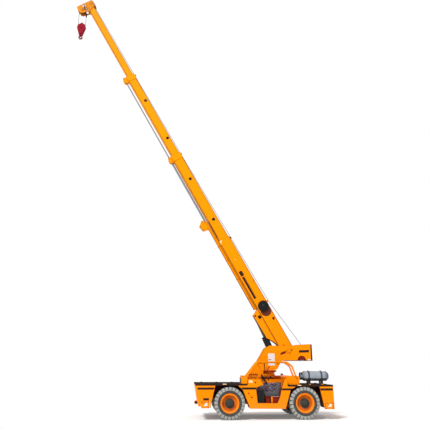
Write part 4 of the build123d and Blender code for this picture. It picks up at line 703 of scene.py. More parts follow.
def make_ropes():
    """Hoist rope from the winch over the tail, along the boom's top and round the head."""
    top = boom_point(TOP_SHEAVE_ALONG, TOP_SHEAVE_ABOVE)
    main = boom_point(SHEAVE_ALONG, -SHEAVE_BELOW)
    reach_top, reach = TOP_GROOVE_R + ROPE_R, GROOVE_R + ROPE_R + 0.0003
    guide = boom_point(GUIDE_ALONG, GUIDE_ABOVE)
    # The rope's height above the boom's line, at stations that clear every collar
    heights = [(GUIDE_ALONG, GUIDE_ABOVE), (8.600, 0.226), (12.690, 0.195),
               (TOP_SHEAVE_ALONG, TOP_SHEAVE_ABOVE + reach_top)]

    def height(along):
        for (a0, h0), (a1, h1) in zip(heights, heights[1:]):
            if along <= a1:
                return h0 + (h1 - h0) * (along - a0) / (a1 - a0)

    stops = [GUIDE_ALONG] + [section[4] for section in SECTIONS[:3]] + [TOP_SHEAVE_ALONG]
    for (name, *_), start, end in zip(SECTIONS, stops, stops[1:]):
        points = rope_line(boom_point(start, height(start)), boom_point(end, height(end)))
        if end == TOP_SHEAVE_ALONG:
            angle = math.degrees(tangent_angle(top, reach_top, main, reach))
            points += arc(top, reach_top, math.degrees(BOOM_ANGLE) + 90, angle, 10)
            points += arc(main, reach, angle, 0, 8)
        Shape().tube(points, ROPE_R, 10).done(f"hoist_rope_{name}", name, "rope")
    exit_point = Vector((-1.271, 0.0, 2.385))
    lead = Shape().tube(rope_line(exit_point, guide, 60), ROPE_R, 10).done("hoist_rope_lead", "turret",
                                                                           "rope")
    lead.parent = None
    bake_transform(lead)
    drop = rope_line(WINCH + Vector((-0.112, 0, 0.02)), exit_point, 2)
    Shape().tube(drop, ROPE_R, 10).done("hoist_rope_drum_lead", "turret", "rope")
    low = main.z - FALL_LENGTH
    falls = Shape().tube([(main.x + reach, 0, main.z), (main.x + reach, 0, low)], ROPE_R, 10)
    falls.tube(arc((main.x, 0, low), reach, 0, -180, 20), ROPE_R, 10)
    falls.tube([(main.x - reach, 0, low), (main.x - reach, 0, main.z - 0.300)], ROPE_R, 10)
    ropes = falls.done("hoist_fall_ropes", "hook_block", "rope")
    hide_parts("hoist_falls")
    socket = Shape()
    sx = main.x - reach
    socket.turned([(0.010, -0.330), (0.026, -0.318), (0.030, -0.230), (0.026, -0.160), (0.018, -0.130),
                   (0.0, -0.130), (0.0, -0.330)], (sx, 0, main.z), "Z", 20)
    socket.tube([(sx, -0.034, main.z - 0.165), (sx, 0.034, main.z - 0.165)], 0.012, 12)
    socket.done("wedge_socket", "hook_block", "black", 0.001)


def flat(shape, side, outline, face, thick=SKIN):
    """A thin plate cut to (x, z) points, on a face that looks along Y on either side."""
    low, high = sorted((side * (face + 0.0002), side * (face + thick)))
    return shape.plate(outline, low, high)


def tile(x0, x1, z0, z1, cut=0.006):
    """A rectangle with cut corners, as (x, z) points."""
    return [(x0 + cut, z0), (x1 - cut, z0), (x1, z0 + cut), (x1, z1 - cut), (x1 - cut, z1), (x0 + cut, z1),
            (x0, z1 - cut), (x0, z0 + cut)]


def aimed(origin, direction):
    """A frame at origin whose own Z looks along direction."""
    turn = Vector(direction).to_track_quat("Z", "Y")
    return Matrix.LocRotScale(Vector(origin), turn, None)


def button(shape, centre, direction, radius, height=0.004):
    """A low round boss with a chamfered rim, standing on a face."""
    profile = [(0.0, -0.0005), (radius, -0.0005), (radius, height * 0.6), (radius * 0.88, height),
               (0.0, height)]
    return shape.join(Shape(aimed(centre, direction)).turned(profile, (0, 0, 0), "Z", 28))


def around(centre, radius, count, axis="Y", start=0.0):
    """Evenly spaced places on a circle about an axis through centre."""
    x, y, z = centre
    places = []
    for number in range(count):
        angle = start + math.tau * number / count
        c, s = radius * math.cos(angle), radius * math.sin(angle)
        places.append({"Y": (x + c, y, z + s), "Z": (x + c, y + s, z)}[axis])
    return places


# Bands on the carrier's side, as (x, z) points; the cab's way in parts the middle one on the left
BAND_LOW_Z, BAND_TOP_Z = 0.918, 0.984
FRONT_BAND = [(2.430, BAND_LOW_Z), (1.905, BAND_LOW_Z), (1.888, BAND_TOP_Z), (2.441, BAND_TOP_Z)]
REAR_BAND = [(-1.592, 0.882), (-1.996, 0.882), (-1.996, 0.952), (-1.577, 0.952)]
SILL_BANDS = [[(0.966, BAND_LOW_Z), (0.534, BAND_LOW_Z), (0.536, 0.971), (0.500, BAND_TOP_Z),
               (1.042, BAND_TOP_Z)],
              [(-0.304, 0.890), (-0.600, 0.890), (-0.680, 0.954), (-0.318, 0.954)]]
DECK_EDGES = [[(0.815, 1.040), (2.503, 1.040), (2.513, 1.0995), (0.815, 1.0995)],
              [(-2.010, 1.005), (-0.505, 1.005), (-0.505, 1.0595), (-2.010, 1.0595)]]
LONG_BAND = [[(0.966, BAND_LOW_Z), (-0.614, BAND_LOW_Z), (-0.722, BAND_TOP_Z), (1.042, BAND_TOP_Z)]]


def make_carrier_trim():
    """Painted bands, slots, reflectors and blank labels that lie on the carrier's sides."""
    for side_name, side in SIDES:
        bands = Shape()
        for outline in [FRONT_BAND, REAR_BAND] + (SILL_BANDS if side > 0 else LONG_BAND):
            flat(bands, side, outline, BODY_HALF)
        bands.done(f"side_bands_{side_name}", "carrier", "brown", 0.0, False)
        rims = Shape()
        for outline in DECK_EDGES:
            flat(rims, side, outline, BODY_HALF)
        rims.done(f"deck_edges_{side_name}", "carrier", "brown", 0.0, False, slot="deck")
        # Painted shade: the slot is a dark tile for its shaded inside
        slot = flat(Shape(), side, tile(2.065, 2.252, 0.592, 0.664, 0.012), BODY_HALF, 0.001)
        slot.done(f"side_slot_{side_name}", "carrier", "brown", 0.0, False)
        rim = Shape().tube([(x, side * (BODY_HALF + 0.001), z) for x,
                            z in ((2.065, 0.592), (2.065, 0.664), (2.252, 0.664), (2.252, 0.592),
                                  (2.065, 0.592))], 0.004, 8)
        rim.done(f"side_slot_rim_{side_name}", "carrier", "body")
        plates = Shape()
        for x, top in ((1.560, FRONT_DECK_Z), (-0.900, REAR_DECK_Z)):
            flat(plates, side, tile(x - 0.062, x + 0.062, top - 0.027, top - 0.003, 0.004), BODY_HALF,
                 0.004)
        flat(plates, side, tile(0.640, 0.764, 1.124, 1.200, 0.008), BODY_HALF, 0.001)
        plates.done(f"deck_reflectors_{side_name}", "carrier", "cream", 0.0005)
        spots = Shape()
        for x, z, radius in ((0.776, 0.807, 0.024), (0.683, 0.682, 0.028), (0.742, 0.745, 0.014)):
            button(spots, (x, side * BODY_HALF, z), (0, side, 0), radius, 0.006)
        spots.done(f"side_plugs_{side_name}", "carrier", "red")
        for end, x, z in (("front", 2.185, 0.476), ("rear", -1.850, 0.431)):
            body = f"outrigger_{end}_{side_name}"
            label = flat(Shape(), side, [(x + 0.070, z - 0.045), (x - 0.010, z + 0.012),
                                         (x - 0.010, z + 0.048), (x - 0.070, z + 0.048),
                                         (x - 0.070, z - 0.045)], BODY_HALF - 0.006, 0.001)
            label.done(f"foot_label_{end}_{side_name}", body, "white", 0.0, False)
            bolts = Shape().bolts([(x + dx, side * (BODY_HALF - 0.006), z + dz) for dx in (-0.106, 0.106)
                                   for dz in (-0.088, 0.080)], (0, side, 0), 0.011, 0.009)
            bolts.done(f"foot_bolts_{end}_{side_name}", body, "black")
    plug = button(Shape(), (0.551, BODY_HALF, 1.134), (0, 1, 0), 0.024, 0.008)
    plug.done("key_switch", "carrier", "black")


def make_deck_fittings():
    """Lashing rings in pans, plate seams and the nose lip."""
    rings, pans = Shape(), Shape()
    spots = [(x, y, FRONT_DECK_Z) for x in (1.150, 1.700, 2.250) for y in (-0.940, 0.940)]
    spots += [(-1.960, y, REAR_DECK_Z) for y in (-0.940, 0.300)] + [(-1.300, -0.940, REAR_DECK_Z)]
    for x, y, z in spots:
        pans.turned([(0.0, 0.0), (0.050, 0.0), (0.054, 0.003), (0.046, 0.004), (0.0, 0.004)], (x, y, z),
                    "Z", 24)
        loop = around((x, y, z + 0.009), 0.034, 24, "Z")
        rings.tube(loop + loop[:1], 0.005, 8)
    pans.done("lashing_pans", "carrier", "deck")
    rings.done("lashing_rings", "carrier", "axle")
    seams = Shape()
    for x in (1.480, 1.980):
        seams.block((x - 0.004, -BODY_HALF + 0.012, FRONT_DECK_Z - 0.001),
                    (x + 0.004, BODY_HALF - 0.012, FRONT_DECK_Z + 0.0012))
    for y in (-0.500, 0.500):
        seams.block((1.030, y - 0.004, FRONT_DECK_Z - 0.001),
                    (NOSE_X - 0.012, y + 0.004, FRONT_DECK_Z + 0.0012))
        seams.block((TAIL_X + 0.012, y - 0.004, REAR_DECK_Z - 0.001),
                    (-0.945, y + 0.004, REAR_DECK_Z + 0.0012))
    seams.bolts([(x, y, FRONT_DECK_Z + 0.0002) for x in (1.080, 1.430, 1.530, 1.930, 2.030, 2.470)
                 for y in (-1.060, -0.540, -0.460, 0.460, 0.540, 1.060)], (0, 0, 1), 0.009, 0.003)
    seams.done("deck_seams", "carrier", "frame", 0.0006, slot="deck")
    lip = Shape()
    lip.block((NOSE_X + 0.0005, -BODY_HALF + 0.01, FRONT_DECK_Z - 0.028),
              (NOSE_X + 0.006, BODY_HALF - 0.01, FRONT_DECK_Z - 0.002))
    lip.done("nose_lip", "carrier", "deck", 0.002)


def make_end_fittings():
    """Lamp bezels, tail lamps, tow pin and tail hitch."""
    bezels, tails = Shape(), Shape()
    for x, y in ((COWL_FRONT_X, 0.980), (0.810, -0.980)):
        bezels.turned([(0.0655, 0.0345), (0.0705, 0.0345), (0.0735, 0.022), (0.0735, 0.0005),
                       (0.0715, 0.0005), (0.0712, 0.020), (0.0672, 0.0342)], (x, y, 1.195), "X", 40)
        bezels.bolts([(x + 0.0005, y + 0.064 * c, 1.195 + 0.095 * s) for c in (-1, 1) for s in (-1, 1)],
                     (1, 0, 0), 0.006, 0.004)
    bezels.done("lamp_bezels", "carrier", "black", 0.0008)
    for y in (-0.860, 0.860):
        tails.block((TAIL_X - 0.030, y - 0.075, 0.885), (TAIL_X - 0.0003, y + 0.075, 0.955))
    tails.done("tail_lamps", "carrier", "red", 0.008, segments=3)
    tow = Shape().turned([(0.0, -0.060), (0.022, -0.060), (0.0235, -0.055), (0.0235, 0.045), (0.046, 0.046),
                          (0.046, 0.060), (0.0, 0.062)], (2.4585, 0.0, 0.475), "Y", 24)
    tow.done("tow_pin", "carrier", "black", 0.001)
    holder = Shape().plate(tile(TAIL_X - 0.115, TAIL_X - 0.0005, 0.430, 0.530, 0.030), -0.035, 0.035)
    holder.bolts([(TAIL_X - 0.0005, y, z) for y in (-0.070, 0.070) for z in (0.440, 0.520)], (-1, 0, 0),
                 0.012, 0.010)
    holder.block((TAIL_X - 0.014, -0.095, 0.410), (TAIL_X - 0.0004, 0.095, 0.550))
    holder.done("tail_hitch", "carrier", "black", 0.003)


def make_louvres():
    """Pressed louvres and grips on the hood."""
    hoods = Shape()
    y = HOOD_SIDE_Y
    for x in (-0.360, -0.120, 0.120, 0.360):
        for z in (1.120, 1.160, 1.200, 1.240):
            rows = [[(px, y + 0.0005, z - 0.012), (px, y - 0.011 * share, z - 0.010),
                     (px, y + 0.0005, z + 0.012)] for px, share in ((x, 0.2), (x + 0.012, 1.0),
                                                                    (x + 0.168, 1.0), (x + 0.180, 0.2))]
            hoods.skin(rows)
    for x in (-0.200, 0.150, 0.500):
        for step in range(4):
            low = -0.980 + 0.090 * step
            rows = [[(x, py, HOOD_TOP_Z - 0.0005), (x + 0.010, py, HOOD_TOP_Z + 0.010 * share),
                     (x + 0.024, py, HOOD_TOP_Z - 0.0005)] for py, share in
                    ((low, 0.2), (low + 0.010, 1.0), (low + 0.060, 1.0), (low + 0.070, 0.2))]
            hoods.skin(rows)
    hoods.done("hood_louvres", "carrier", "body", 0.0, True, sharp=50)
    grips = Shape()
    for x in (-0.300, 0.600):
        grips.tube(curve_points([(x, y + 0.002, 1.090), (x, y - 0.034, 1.090),
                                 (x + 0.050, y - 0.036, 1.090), (x + 0.100, y - 0.034, 1.090),
                                 (x + 0.100, y + 0.002, 1.090)], 6), 0.006, 8)
        for foot in (x, x + 0.100):
            button(grips, (foot, y, 1.090), (0, -1, 0), 0.014, 0.004)
    grips.done("hood_grips", "carrier", "black")


def make_hood_fittings():
    """Filler cap, level gauges, hood hinge and the guard's foot bolts."""
    y = HOOD_SIDE_Y
    cap = Shape().turned([(0.0, 1.3605), (0.046, 1.3605), (0.050, 1.364), (0.050, 1.380), (0.044, 1.388),
                          (0.018, 1.392), (0.0, 1.392)], (-0.715, -0.906, 0.0), "Z", 36)
    cap.bolts([(-0.715, -0.906, 1.391)], (0, 0, 1), 0.012, 0.010)
    cap.done("filler_cap", "carrier", "black", 0.001)
    gauge, glass = Shape(), Shape()
    for x in (-0.860, -0.590):
        gauge.block((x - 0.018, y - 0.012, 1.110), (x + 0.018, y + 0.0005, 1.270))
        glass.tube([(x, y - 0.013, 1.130), (x, y - 0.013, 1.250)], 0.007, 10)
    gauge.done("level_gauges", "carrier", "black", 0.003)
    glass.done("level_glasses", "carrier", "lens")
    hatch = Shape()
    for x in (-0.230, 0.110):
        for px, py in ((x, -0.700), (x, -0.640)):
            hatch.block((px - 0.030, py - 0.012, HOOD_TOP_Z - 0.0006),
                        (px + 0.030, py + 0.012, HOOD_TOP_Z + 0.006))
    hatch.tube([(-0.270, -0.670, HOOD_TOP_Z + 0.006), (0.150, -0.670, HOOD_TOP_Z + 0.006)], 0.008, 10)
    hatch.done("hood_hinge", "carrier", "frame", 0.001)
    feet = Shape()
    for gx, top in ((0.855, COWL_TOP_Z), (-0.800, HOOD_TOP_Z)):
        for gy in (GUARD_IN_Y, GUARD_OUT_Y):
            corners = [(gx + dx, gy + dy, top + 0.012) for dx in (-0.026, 0.026) for dy in (-0.026, 0.026)]
            feet.bolts(corners, (0, 0, 1), 0.006, 0.006)
    feet.done("guard_bolts", "carrier", "steel")


def make_quilted_wall():
    """The padded wall behind the operator's seat."""
    wall, low, rear, front, peak, pitch = 0.606, 0.762, -0.325, 0.455, 1.116, 0.085
    columns, steps = 100, 45
    quilt = Shape()
    rows = []
    for column in range(columns):
        x = rear + (front - rear) * column / (columns - 1)
        top = min(peak, peak - (x - 0.205) * 0.63)
        row = [(x, wall + 0.0002, low)]
        for step in range(steps):
            z = low + (top - low) * step / (steps - 1)
            swell = abs(math.sin((x + z) * math.pi / pitch) * math.sin((x - z) * math.pi / pitch))
            edge = min(1.0, min(z - low, top - z, x - rear, front - x) / 0.02)
            row.append((x, wall + 0.004 + max(0.0, edge) * (0.004 + 0.016 * swell ** 0.6), z))
        row.append((x, wall + 0.0002, top))
        rows.append(row)
    quilt.skin(rows)
    quilt.done("quilted_wall", "carrier", "quilt", 0.0, True, sharp=60)


def make_cab_panels():
    """Opening trim, boxes, posts, labels and the console's lid."""
    seal = Shape().tube([(x, BODY_HALF - 0.005, z) for x, z in ((0.346, 1.224), (0.344, 1.150),
                                                                (0.288, 1.062), (0.522, 0.975),
                                                                (0.527, 0.931), (0.489, 0.512),
                                                                (-0.150, 0.510), (-0.235, 0.687),
                                                                (-0.310, 0.968), (-0.398, 1.224))], 0.011,
                                                                10)
    seal.done("opening_trim", "carrier", "red_brown", slot="dark_red")
    # Painted shade: the box under the seat's front and the panel beside it are dark red for orange in the
    # cab's shade
    red = Shape()
    red.block((0.066, 0.720, 0.4903), (0.214, 0.970, 0.706))
    red.plate(tile(-0.236, -0.020, 0.500, 0.690, 0.010), 1.0003, 1.006)
    red.done("battery_box", "carrier", "dark_red", 0.006)
    strip = Shape().block((-0.013, 1.0003, 0.4903), (0.037, 1.010, 0.708))
    strip.done("seat_post", "carrier", "body", 0.003)
    pale = Shape().block((-0.240, 1.0003, 0.696), (-0.018, 1.008, 0.706))
    pale.plate(tile(0.330, 0.402, 0.690, 0.724, 0.004), 1.0762, 1.0775)
    pale.done("cab_labels", "carrier", "white", 0.0008)
    lid = Shape().plate(tile(0.285, 0.488, 0.545, 0.846, 0.020), 1.0762, 1.0805)
    lid.bolts([(x, 1.0805, z) for x in (0.300, 0.473) for z in (0.562, 0.828)], (0, 1, 0), 0.006, 0.004)
    lid.done("console_lid", "carrier", "plastic", 0.002)


def make_levers():
    """Grips and boots of the five levers on the dashboard."""
    grips, stems = Shape(), Shape()
    tilt = math.radians(-25)
    for number in range(5):
        foot = Matrix.Translation((0.735 - 0.04844 * number, 0.690 + 0.080 * number, 1.245))
        place = foot @ Matrix.Rotation(tilt, 4, "Y")
        ball = [(0.0092, 0.132)] + [(0.0265 * math.cos(a), 0.152 + 0.0265 * math.sin(a))
                                    for a in [math.radians(-60 + 15 * i)
                                              for i in range(11)]] + [(0.0, 0.1785), (0.0, 0.132)]
        sleeve = [(0.0082, 0.012), (0.0092, 0.012), (0.0092, 0.134), (0.0082, 0.134)]
        boot = [(0.0086, 0.034), (0.014, 0.028), (0.018, 0.020), (0.015, 0.016), (0.025, 0.008),
                (0.030, 0.0002), (0.0086, 0.0002)]
        for shape, profile in ((grips, ball), (grips, sleeve), (stems, boot)):
            shape.join(Shape(place).turned(profile, (0, 0, 0), "Z", 24))
    grips.done("lever_grips", "carrier", "red_brown", slot="dark_red")
    stems.done("lever_boots", "carrier", "brown", slot="rubber")


def make_dials():
    """Gauges and switches on the dashboard's slope."""
    dials, faces = Shape(), Shape()
    slope = Vector((-0.894, 0.0, 0.447))
    for y in (0.930, 0.990, 1.050):
        button(dials, Vector((0.499, y, 1.205)) + slope * 0.0002, slope, 0.027, 0.007)
        button(faces, Vector((0.499, y, 1.205)) + slope * 0.0070, slope, 0.020, 0.0012)
    for y in (0.640, 0.675, 0.710, 0.745, 0.780):
        button(dials, Vector((0.499, y, 1.205)) + slope * 0.0002, slope, 0.010, 0.012)
    dials.done("dash_dials", "carrier", "black")
    faces.done("dial_faces", "carrier", "white")


def make_pedals():
    """Foot pedals and the lever beside the seat."""
    pedals = Shape()
    for y in (0.690, 0.800, 0.930):
        pedals.skin([[(px, py, pz) for px, pz in ((0.655, 0.560), (0.700, 0.650), (0.706, 0.647),
                                                  (0.661, 0.557))] for py in (y - 0.035, y + 0.035)])
        pedals.tube([(0.690, y, 0.610), (0.735, y, 0.560), (0.764, y, 0.4905)], 0.008, 8)
    pedals.done("foot_pedals", "carrier", "black", 0.002)
    lever = Shape().tube([(0.040, 0.603, 1.205), (0.026, 0.603, 1.226), (-0.037, 0.603, 1.304)], 0.010, 10)
    lever.block((0.015, 0.592, 1.190), (0.050, 0.614, 1.2245))
    button(lever, (-0.030, 0.603, 1.296), (-0.63, 0, 0.78), 0.019, 0.030)
    lever.done("side_lever", "carrier", "brown", 0.001)


def make_gas_tank_trim():
    """Weld beads, straps and feet of the gas tank."""
    y, z = TANK_Y, TANK_Z
    beads = Shape()
    for x in (-1.130, -1.485, -1.860):
        beads.turned([(0.1545, x - 0.008), (0.1575, x - 0.005), (0.1575, x + 0.005), (0.1545, x + 0.008)],
                     (0, y, z), "X", 64)
    beads.done("tank_beads", "carrier", "tank")
    rings = Shape()
    for x in (-1.275, -1.695):
        rings.turned([(0.1605, x - 0.027), (0.1635, x - 0.027), (0.1635, x + 0.027), (0.1605, x + 0.027)],
                     (0, y, z), "X", 64)
        rings.block((x - 0.022, y + 0.130, z + 0.110), (x + 0.022, y + 0.150, z + 0.128))
        rings.tube([(x, y - 0.055, z + 0.172), (x, y + 0.055, z + 0.172)], 0.008, 10)
    rings.done("tank_straps", "carrier", "strap", 0.001)
    feet = Shape()
    for x in (-1.275, -1.695):
        feet.bolts([(x + dx, y + dy, 1.078) for dx in (-0.020, 0.020) for dy in (-0.172, 0.172)], (0, 0, 1),
                   0.010, 0.010)
        for dy in (-0.172, 0.172):
            feet.block((x - 0.034, y + dy - 0.024, 1.0603), (x + 0.034, y + dy + 0.024, 1.078))
    feet.done("cradle_feet", "carrier", "body", 0.002)


def make_tank_valve():
    """Collar openings, valve and pipe at the gas tank's front end."""
    y, z = TANK_Y, TANK_Z
    # Painted shade: the collar's openings are thin dark shells
    holes = Shape()
    for turn in range(4):
        a = math.tau * (turn + 0.5) / 4
        rows = []
        for share in (-1, -0.5, 0, 0.5, 1):
            b = a + share * 0.42
            c, s = math.cos(b), math.sin(b)
            rows.append([(-1.060, y + 0.1195 * c, z + 0.1195 * s), (-1.012, y + 0.1225 * c, z + 0.1225 * s),
                         (-1.012, y + 0.1232 * c, z + 0.1232 * s),
                         (-1.060, y + 0.1212 * c, z + 0.1212 * s)])
        holes.skin(rows)
    holes.done("collar_openings", "carrier", "brown")
    valve = Shape().tube([(-1.030, y, z), (-1.000, y, z), (-0.992, y, z)], 0.034, 20)
    valve.block((-1.034, y - 0.045, z - 0.018), (-1.004, y + 0.045, z + 0.018))
    valve.tube([(-1.018, y + 0.040, z), (-1.018, y + 0.076, z)], 0.016, 16)
    valve.tube([(-1.018, y - 0.076, z), (-1.018, y - 0.040, z)], 0.012, 16)
    valve.done("tank_valve", "carrier", "black", 0.002)
    pipe = Shape().tube(curve_points([(-1.018, y - 0.072, z), (-1.018, y - 0.150, z),
                                      (-1.000, y - 0.200, z - 0.020), (-0.975, y - 0.220, 1.200),
                                      (-0.960, y - 0.220, 1.130), (-0.9295, y - 0.220, 1.120)]), 0.008, 10)
    button(pipe, (-0.9295, y - 0.220, 1.120), (-1, 0, 0), 0.018, 0.014)
    pipe.done("gas_pipe", "carrier", "brown")


def make_turret_trim():
    """Blank plates, marks, pin bolts and edges on the turret's sides."""
    for side_name, side in SIDES:
        marks = flat(Shape(), side, [(-0.476, 2.018), (-0.668, 2.078), (-0.690, 2.166), (-0.496, 2.104)],
                     TURRET_OUT_Y, 0.001)
        marks.done(f"turret_mark_{side_name}", "turret", "dark_red", 0.0, False)
        dark = flat(Shape(), side, [(-1.140, 2.100), (-1.500, 2.112), (-1.506, 2.194), (-1.146, 2.182)],
                    TURRET_OUT_Y, 0.001)
        flat(dark, side, [(-1.556, 1.8295), (-0.600, 1.8295), (-0.600, 1.8430), (-1.556, 1.8430)],
             TURRET_OUT_Y, 0.001)
        flat(dark, side, [(-0.858, 2.172), (-0.926, 2.172), (-0.892, 2.236)], TURRET_OUT_Y, 0.001)
        dark.done(f"tail_strip_{side_name}", "turret", "brown", 0.0, False)
        pale = flat(Shape(), side, tile(-0.276, -0.044, 1.668, 2.074, 0.012), TURRET_OUT_Y, 0.0016)
        flat(pale, side, tile(-1.542, -1.448, 1.842, 1.886, 0.006), TURRET_OUT_Y, 0.001)
        pale.done(f"turret_placards_{side_name}", "turret", "white", 0.0004)
        strap = flat(Shape(), side, tile(-0.268, -0.052, 1.786, 1.796, 0.002), TURRET_OUT_Y + 0.0015,
                     0.0008)
        flat(strap, side, tile(-0.150, -0.060, 1.852, 1.874, 0.004), TURRET_OUT_Y + 0.0015, 0.0008)
        strap.done(f"placard_bars_{side_name}", "turret", "red", 0.0, False)
        face = side * 0.216
        pins = Shape()
        for x, z, ring, count in ((PIVOT.x, PIVOT.z, 0.066, 6), (LIFT_BASE.x, LIFT_BASE.z, 0.050, 4)):
            pins.bolts(around((x, face, z), ring, count, start=0.3), (0, side, 0), 0.008, 0.007)
        pins.done(f"pin_bolts_{side_name}", "turret", "body")
        edge = Shape().tube([(x, side * 0.195, z) for x, z in ((0.055, 2.2525), (-0.107, 2.3355),
                                                               (-0.851, 2.3255), (-1.038, 2.3605),
                                                               (-1.556, 2.3855))], 0.006, 8)
        edge.done(f"turret_edge_{side_name}", "turret", "body")


def make_ring_trim():
    """Bolts, seal and edge of the slewing ring and the turret's table."""
    bolts = Shape()
    on_table = [place for place in around((0, 0, 1.5000), 0.318, 28, "Z", math.pi / 28)
                if abs(place[1]) > 0.225]
    bolts.bolts(on_table, (0, 0, 1), 0.012, 0.011)
    bolts.done("table_bolts", "turret", "steel")
    under_ring = [place for place in around((0, 0, 1.2920), 0.279, 28, "Z", math.pi / 28)
                  if place[1] > -0.251]
    lower = Shape().bolts(under_ring, (0, 0, -1), 0.011, 0.010)
    lower.done("ring_bolts", "carrier", "steel")
    seal = Shape().turned([(0.2895, 1.322), (0.297, 1.324), (0.297, 1.334), (0.2895, 1.3345)], (0, 0, 0),
                          "Z", 64)
    seal.done("ring_seal", "carrier", "red")
    # A dark red rim under the edge of the turret's table
    dark_rim = Shape().turned([(0.3495, 1.468), (0.358, 1.470), (0.358, 1.502), (0.352, 1.508),
                           (0.3495, 1.5002)], (0, 0, 0), "Z", 72)
    dark_rim.done("table_edge", "turret", "dark_red")


def make_hose_stubs():
    """Hose stubs that rise from the table beside the boom."""
    stubs = Shape()
    for bottom, top in (((0.110, 0.300, 1.4995), (0.112, 0.300, 1.722)),
                        ((0.018, 0.310, 1.4995), (-0.052, 0.300, 1.634)),
                        ((0.110, -0.300, 1.4995), (0.112, -0.300, 1.700))):
        stubs.tube([bottom, Vector(bottom).lerp(Vector(top), 0.5), top], 0.013, 12)
        button(stubs, bottom, (0, 0, 1), 0.024, 0.012)
        button(stubs, top, Vector(top) - Vector(bottom), 0.017, 0.014)
    stubs.done("hose_stubs", "turret", "brown")


def make_winch_trim():
    """Rope wound on the drum, and the winch motor's cap."""
    wound = Shape()
    turns, steps = 19, 20
    helix = []
    for k in range(turns * steps + 1):
        a = math.tau * k / steps
        helix.append((WINCH.x + 0.1032 * math.cos(a), -0.158 + 0.316 * k / (turns * steps),
                      WINCH.z + 0.1032 * math.sin(a)))
    wound.tube(helix, ROPE_R, 8)
    wound.done("wound_rope", "turret", "rope")
    motor = Shape().bolts(around((WINCH.x, -0.3115, WINCH.z), 0.055, 6), (0, -1, 0), 0.010, 0.010)
    button(motor, (WINCH.x, -0.3115, WINCH.z), (0, -1, 0), 0.032, 0.020)
    motor.turned([(0.072, -0.240), (0.079, -0.238), (0.079, -0.222), (0.072, -0.220)],
                 (WINCH.x, 0, WINCH.z), "Y", 40)
    motor.done("winch_motor_trim", "turret", "axle")


def lift_place():
    """The lift cylinder's frame, with X along it, and its length from pin to pin."""
    pin = boom_point(LIFT_PIN_ALONG, -LIFT_PIN_BELOW)
    d = pin - LIFT_BASE
    return Matrix.Translation(LIFT_BASE) @ Matrix.Rotation(-math.atan2(d.z, d.x), 4, "Y"), d.length


def make_lift_trim():
    """Gland ring, ports and feed pipes of the lift cylinder."""
    place, length = lift_place()
    ring = Shape(place)
    ring.turned([(0.108, 0.905), (0.1165, 0.907), (0.1165, 0.9565), (0.110, 0.9620), (0.0570, 0.9620),
                 (0.0570, 0.9505), (0.108, 0.9505)], (0, 0, 0), "X", 48)
    ring.turned([(0.109, 0.118), (0.115, 0.120), (0.115, 0.150), (0.109, 0.152)], (0, 0, 0), "X", 48)
    for along in (0.200, 0.860):
        ring.block((along - 0.020, -0.016, -0.117), (along + 0.020, 0.016, -0.104))
    ring.tube([(0.200, 0.0, -0.113), (0.860, 0.0, -0.113)], 0.006, 10)
    ring.done("lift_cylinder_trim", "lift_barrel", "black", 0.0008)
    pins = Shape(place)
    for side in (1, -1):
        pins.turned([(0.0, side * 0.1185), (0.030, side * 0.1185), (0.030, side * 0.1215),
                     (0.0, side * 0.1215)], (length, 0, 0), "Y", 24)
    pins.done("lift_pin_caps", "lift_rod", "axle")


def make_boom_marks():
    """Round holes on the sides of sections 2 and 3, drawn as dark discs of painted shade."""
    widths = {name: width for name, _, width, _, _ in SECTIONS}
    holes = [("boom_section_2", 5.514, 0.025), ("boom_section_2", 7.390, 0.023),
             ("boom_section_3", 9.375, 0.050), ("boom_section_3", 11.305, 0.032)]
    for number, (name, along, above) in enumerate(holes):
        half = widths[name] / 2
        shape = Shape(BOOM)
        radius = 0.064
        for side in (1, -1):
            shape.turned([(0.0, side * (half + 0.00005)), (radius, side * (half + 0.00005)),
                          (radius, side * (half + 0.00025)), (0.0, side * (half + 0.00025))],
                          (along, 0, above), "Y", 32)
        shape.done(f"boom_hole_{number + 1}", name, "brown")


def make_boom_bands():
    """Bands, slots, pale marks, seams and a painted shadow strip on the boom's sides."""
    half = SECTIONS[0][2] / 2
    for side_name, side in SIDES:
        plain = Shape(BOOM)
        flat(plain, side, tile(3.090, 3.290, -0.150, -0.020, 0.010), half, 0.001)
        flat(plain, side, tile(2.150, 3.060, -0.140, -0.060, 0.010), half, 0.001)
        flat(plain, side, tile(2.150, 3.060, -0.048, -0.036, 0.003), half, 0.001)
        flat(plain, side, [(1.180, 0.128), (1.190, 0.078), (1.286, 0.090), (1.276, 0.160), (1.236, 0.176)],
             half, 0.001)
        flat(plain, side, [(2.680, 0.150), (2.686, 0.140), (2.790, 0.176), (2.784, 0.188)], half, 0.001)
        flat(plain, side, tile(0.200, 0.290, -0.052, -0.026, 0.006), half, 0.001)
        plain.done(f"boom_bands_{side_name}", "boom_base", "brown", 0.0, False)
        pale = Shape(BOOM)
        flat(pale, side, [(4.500, -0.202), (4.642, -0.202), (4.642, -0.096)], half, 0.001)
        button(pale, boom_point(3.757, -0.024, side * half), (0, side, 0), 0.018, 0.003)
        pale.done(f"boom_pale_marks_{side_name}", "boom_base", "cream", 0.0, False)
        # Painted shadow: a dark strip along section 2's lower edge, next to the gland
        slot = flat(Shape(BOOM), side, [(4.830, -0.192), (5.520, -0.192), (5.520, -0.166), (4.830, -0.178)],
                    0.145, 0.001)
        slot.done(f"section_shadow_strip_{side_name}", "boom_section_2", "brown", 0.0, False)
        for name, tall, wide, start, tip in SECTIONS:
            seam = Shape(BOOM)
            for above in (-tall / 2 + 0.024, tall / 2 - 0.024):
                flat(seam, side, tile(start + 0.010, tip - 0.010, above - 0.007, above + 0.007, 0.002),
                     wide / 2, 0.0006)
            seam.done(f"boom_seams_{name}_{side_name}", name, "red_brown", 0.0, False, slot="boom_paint")


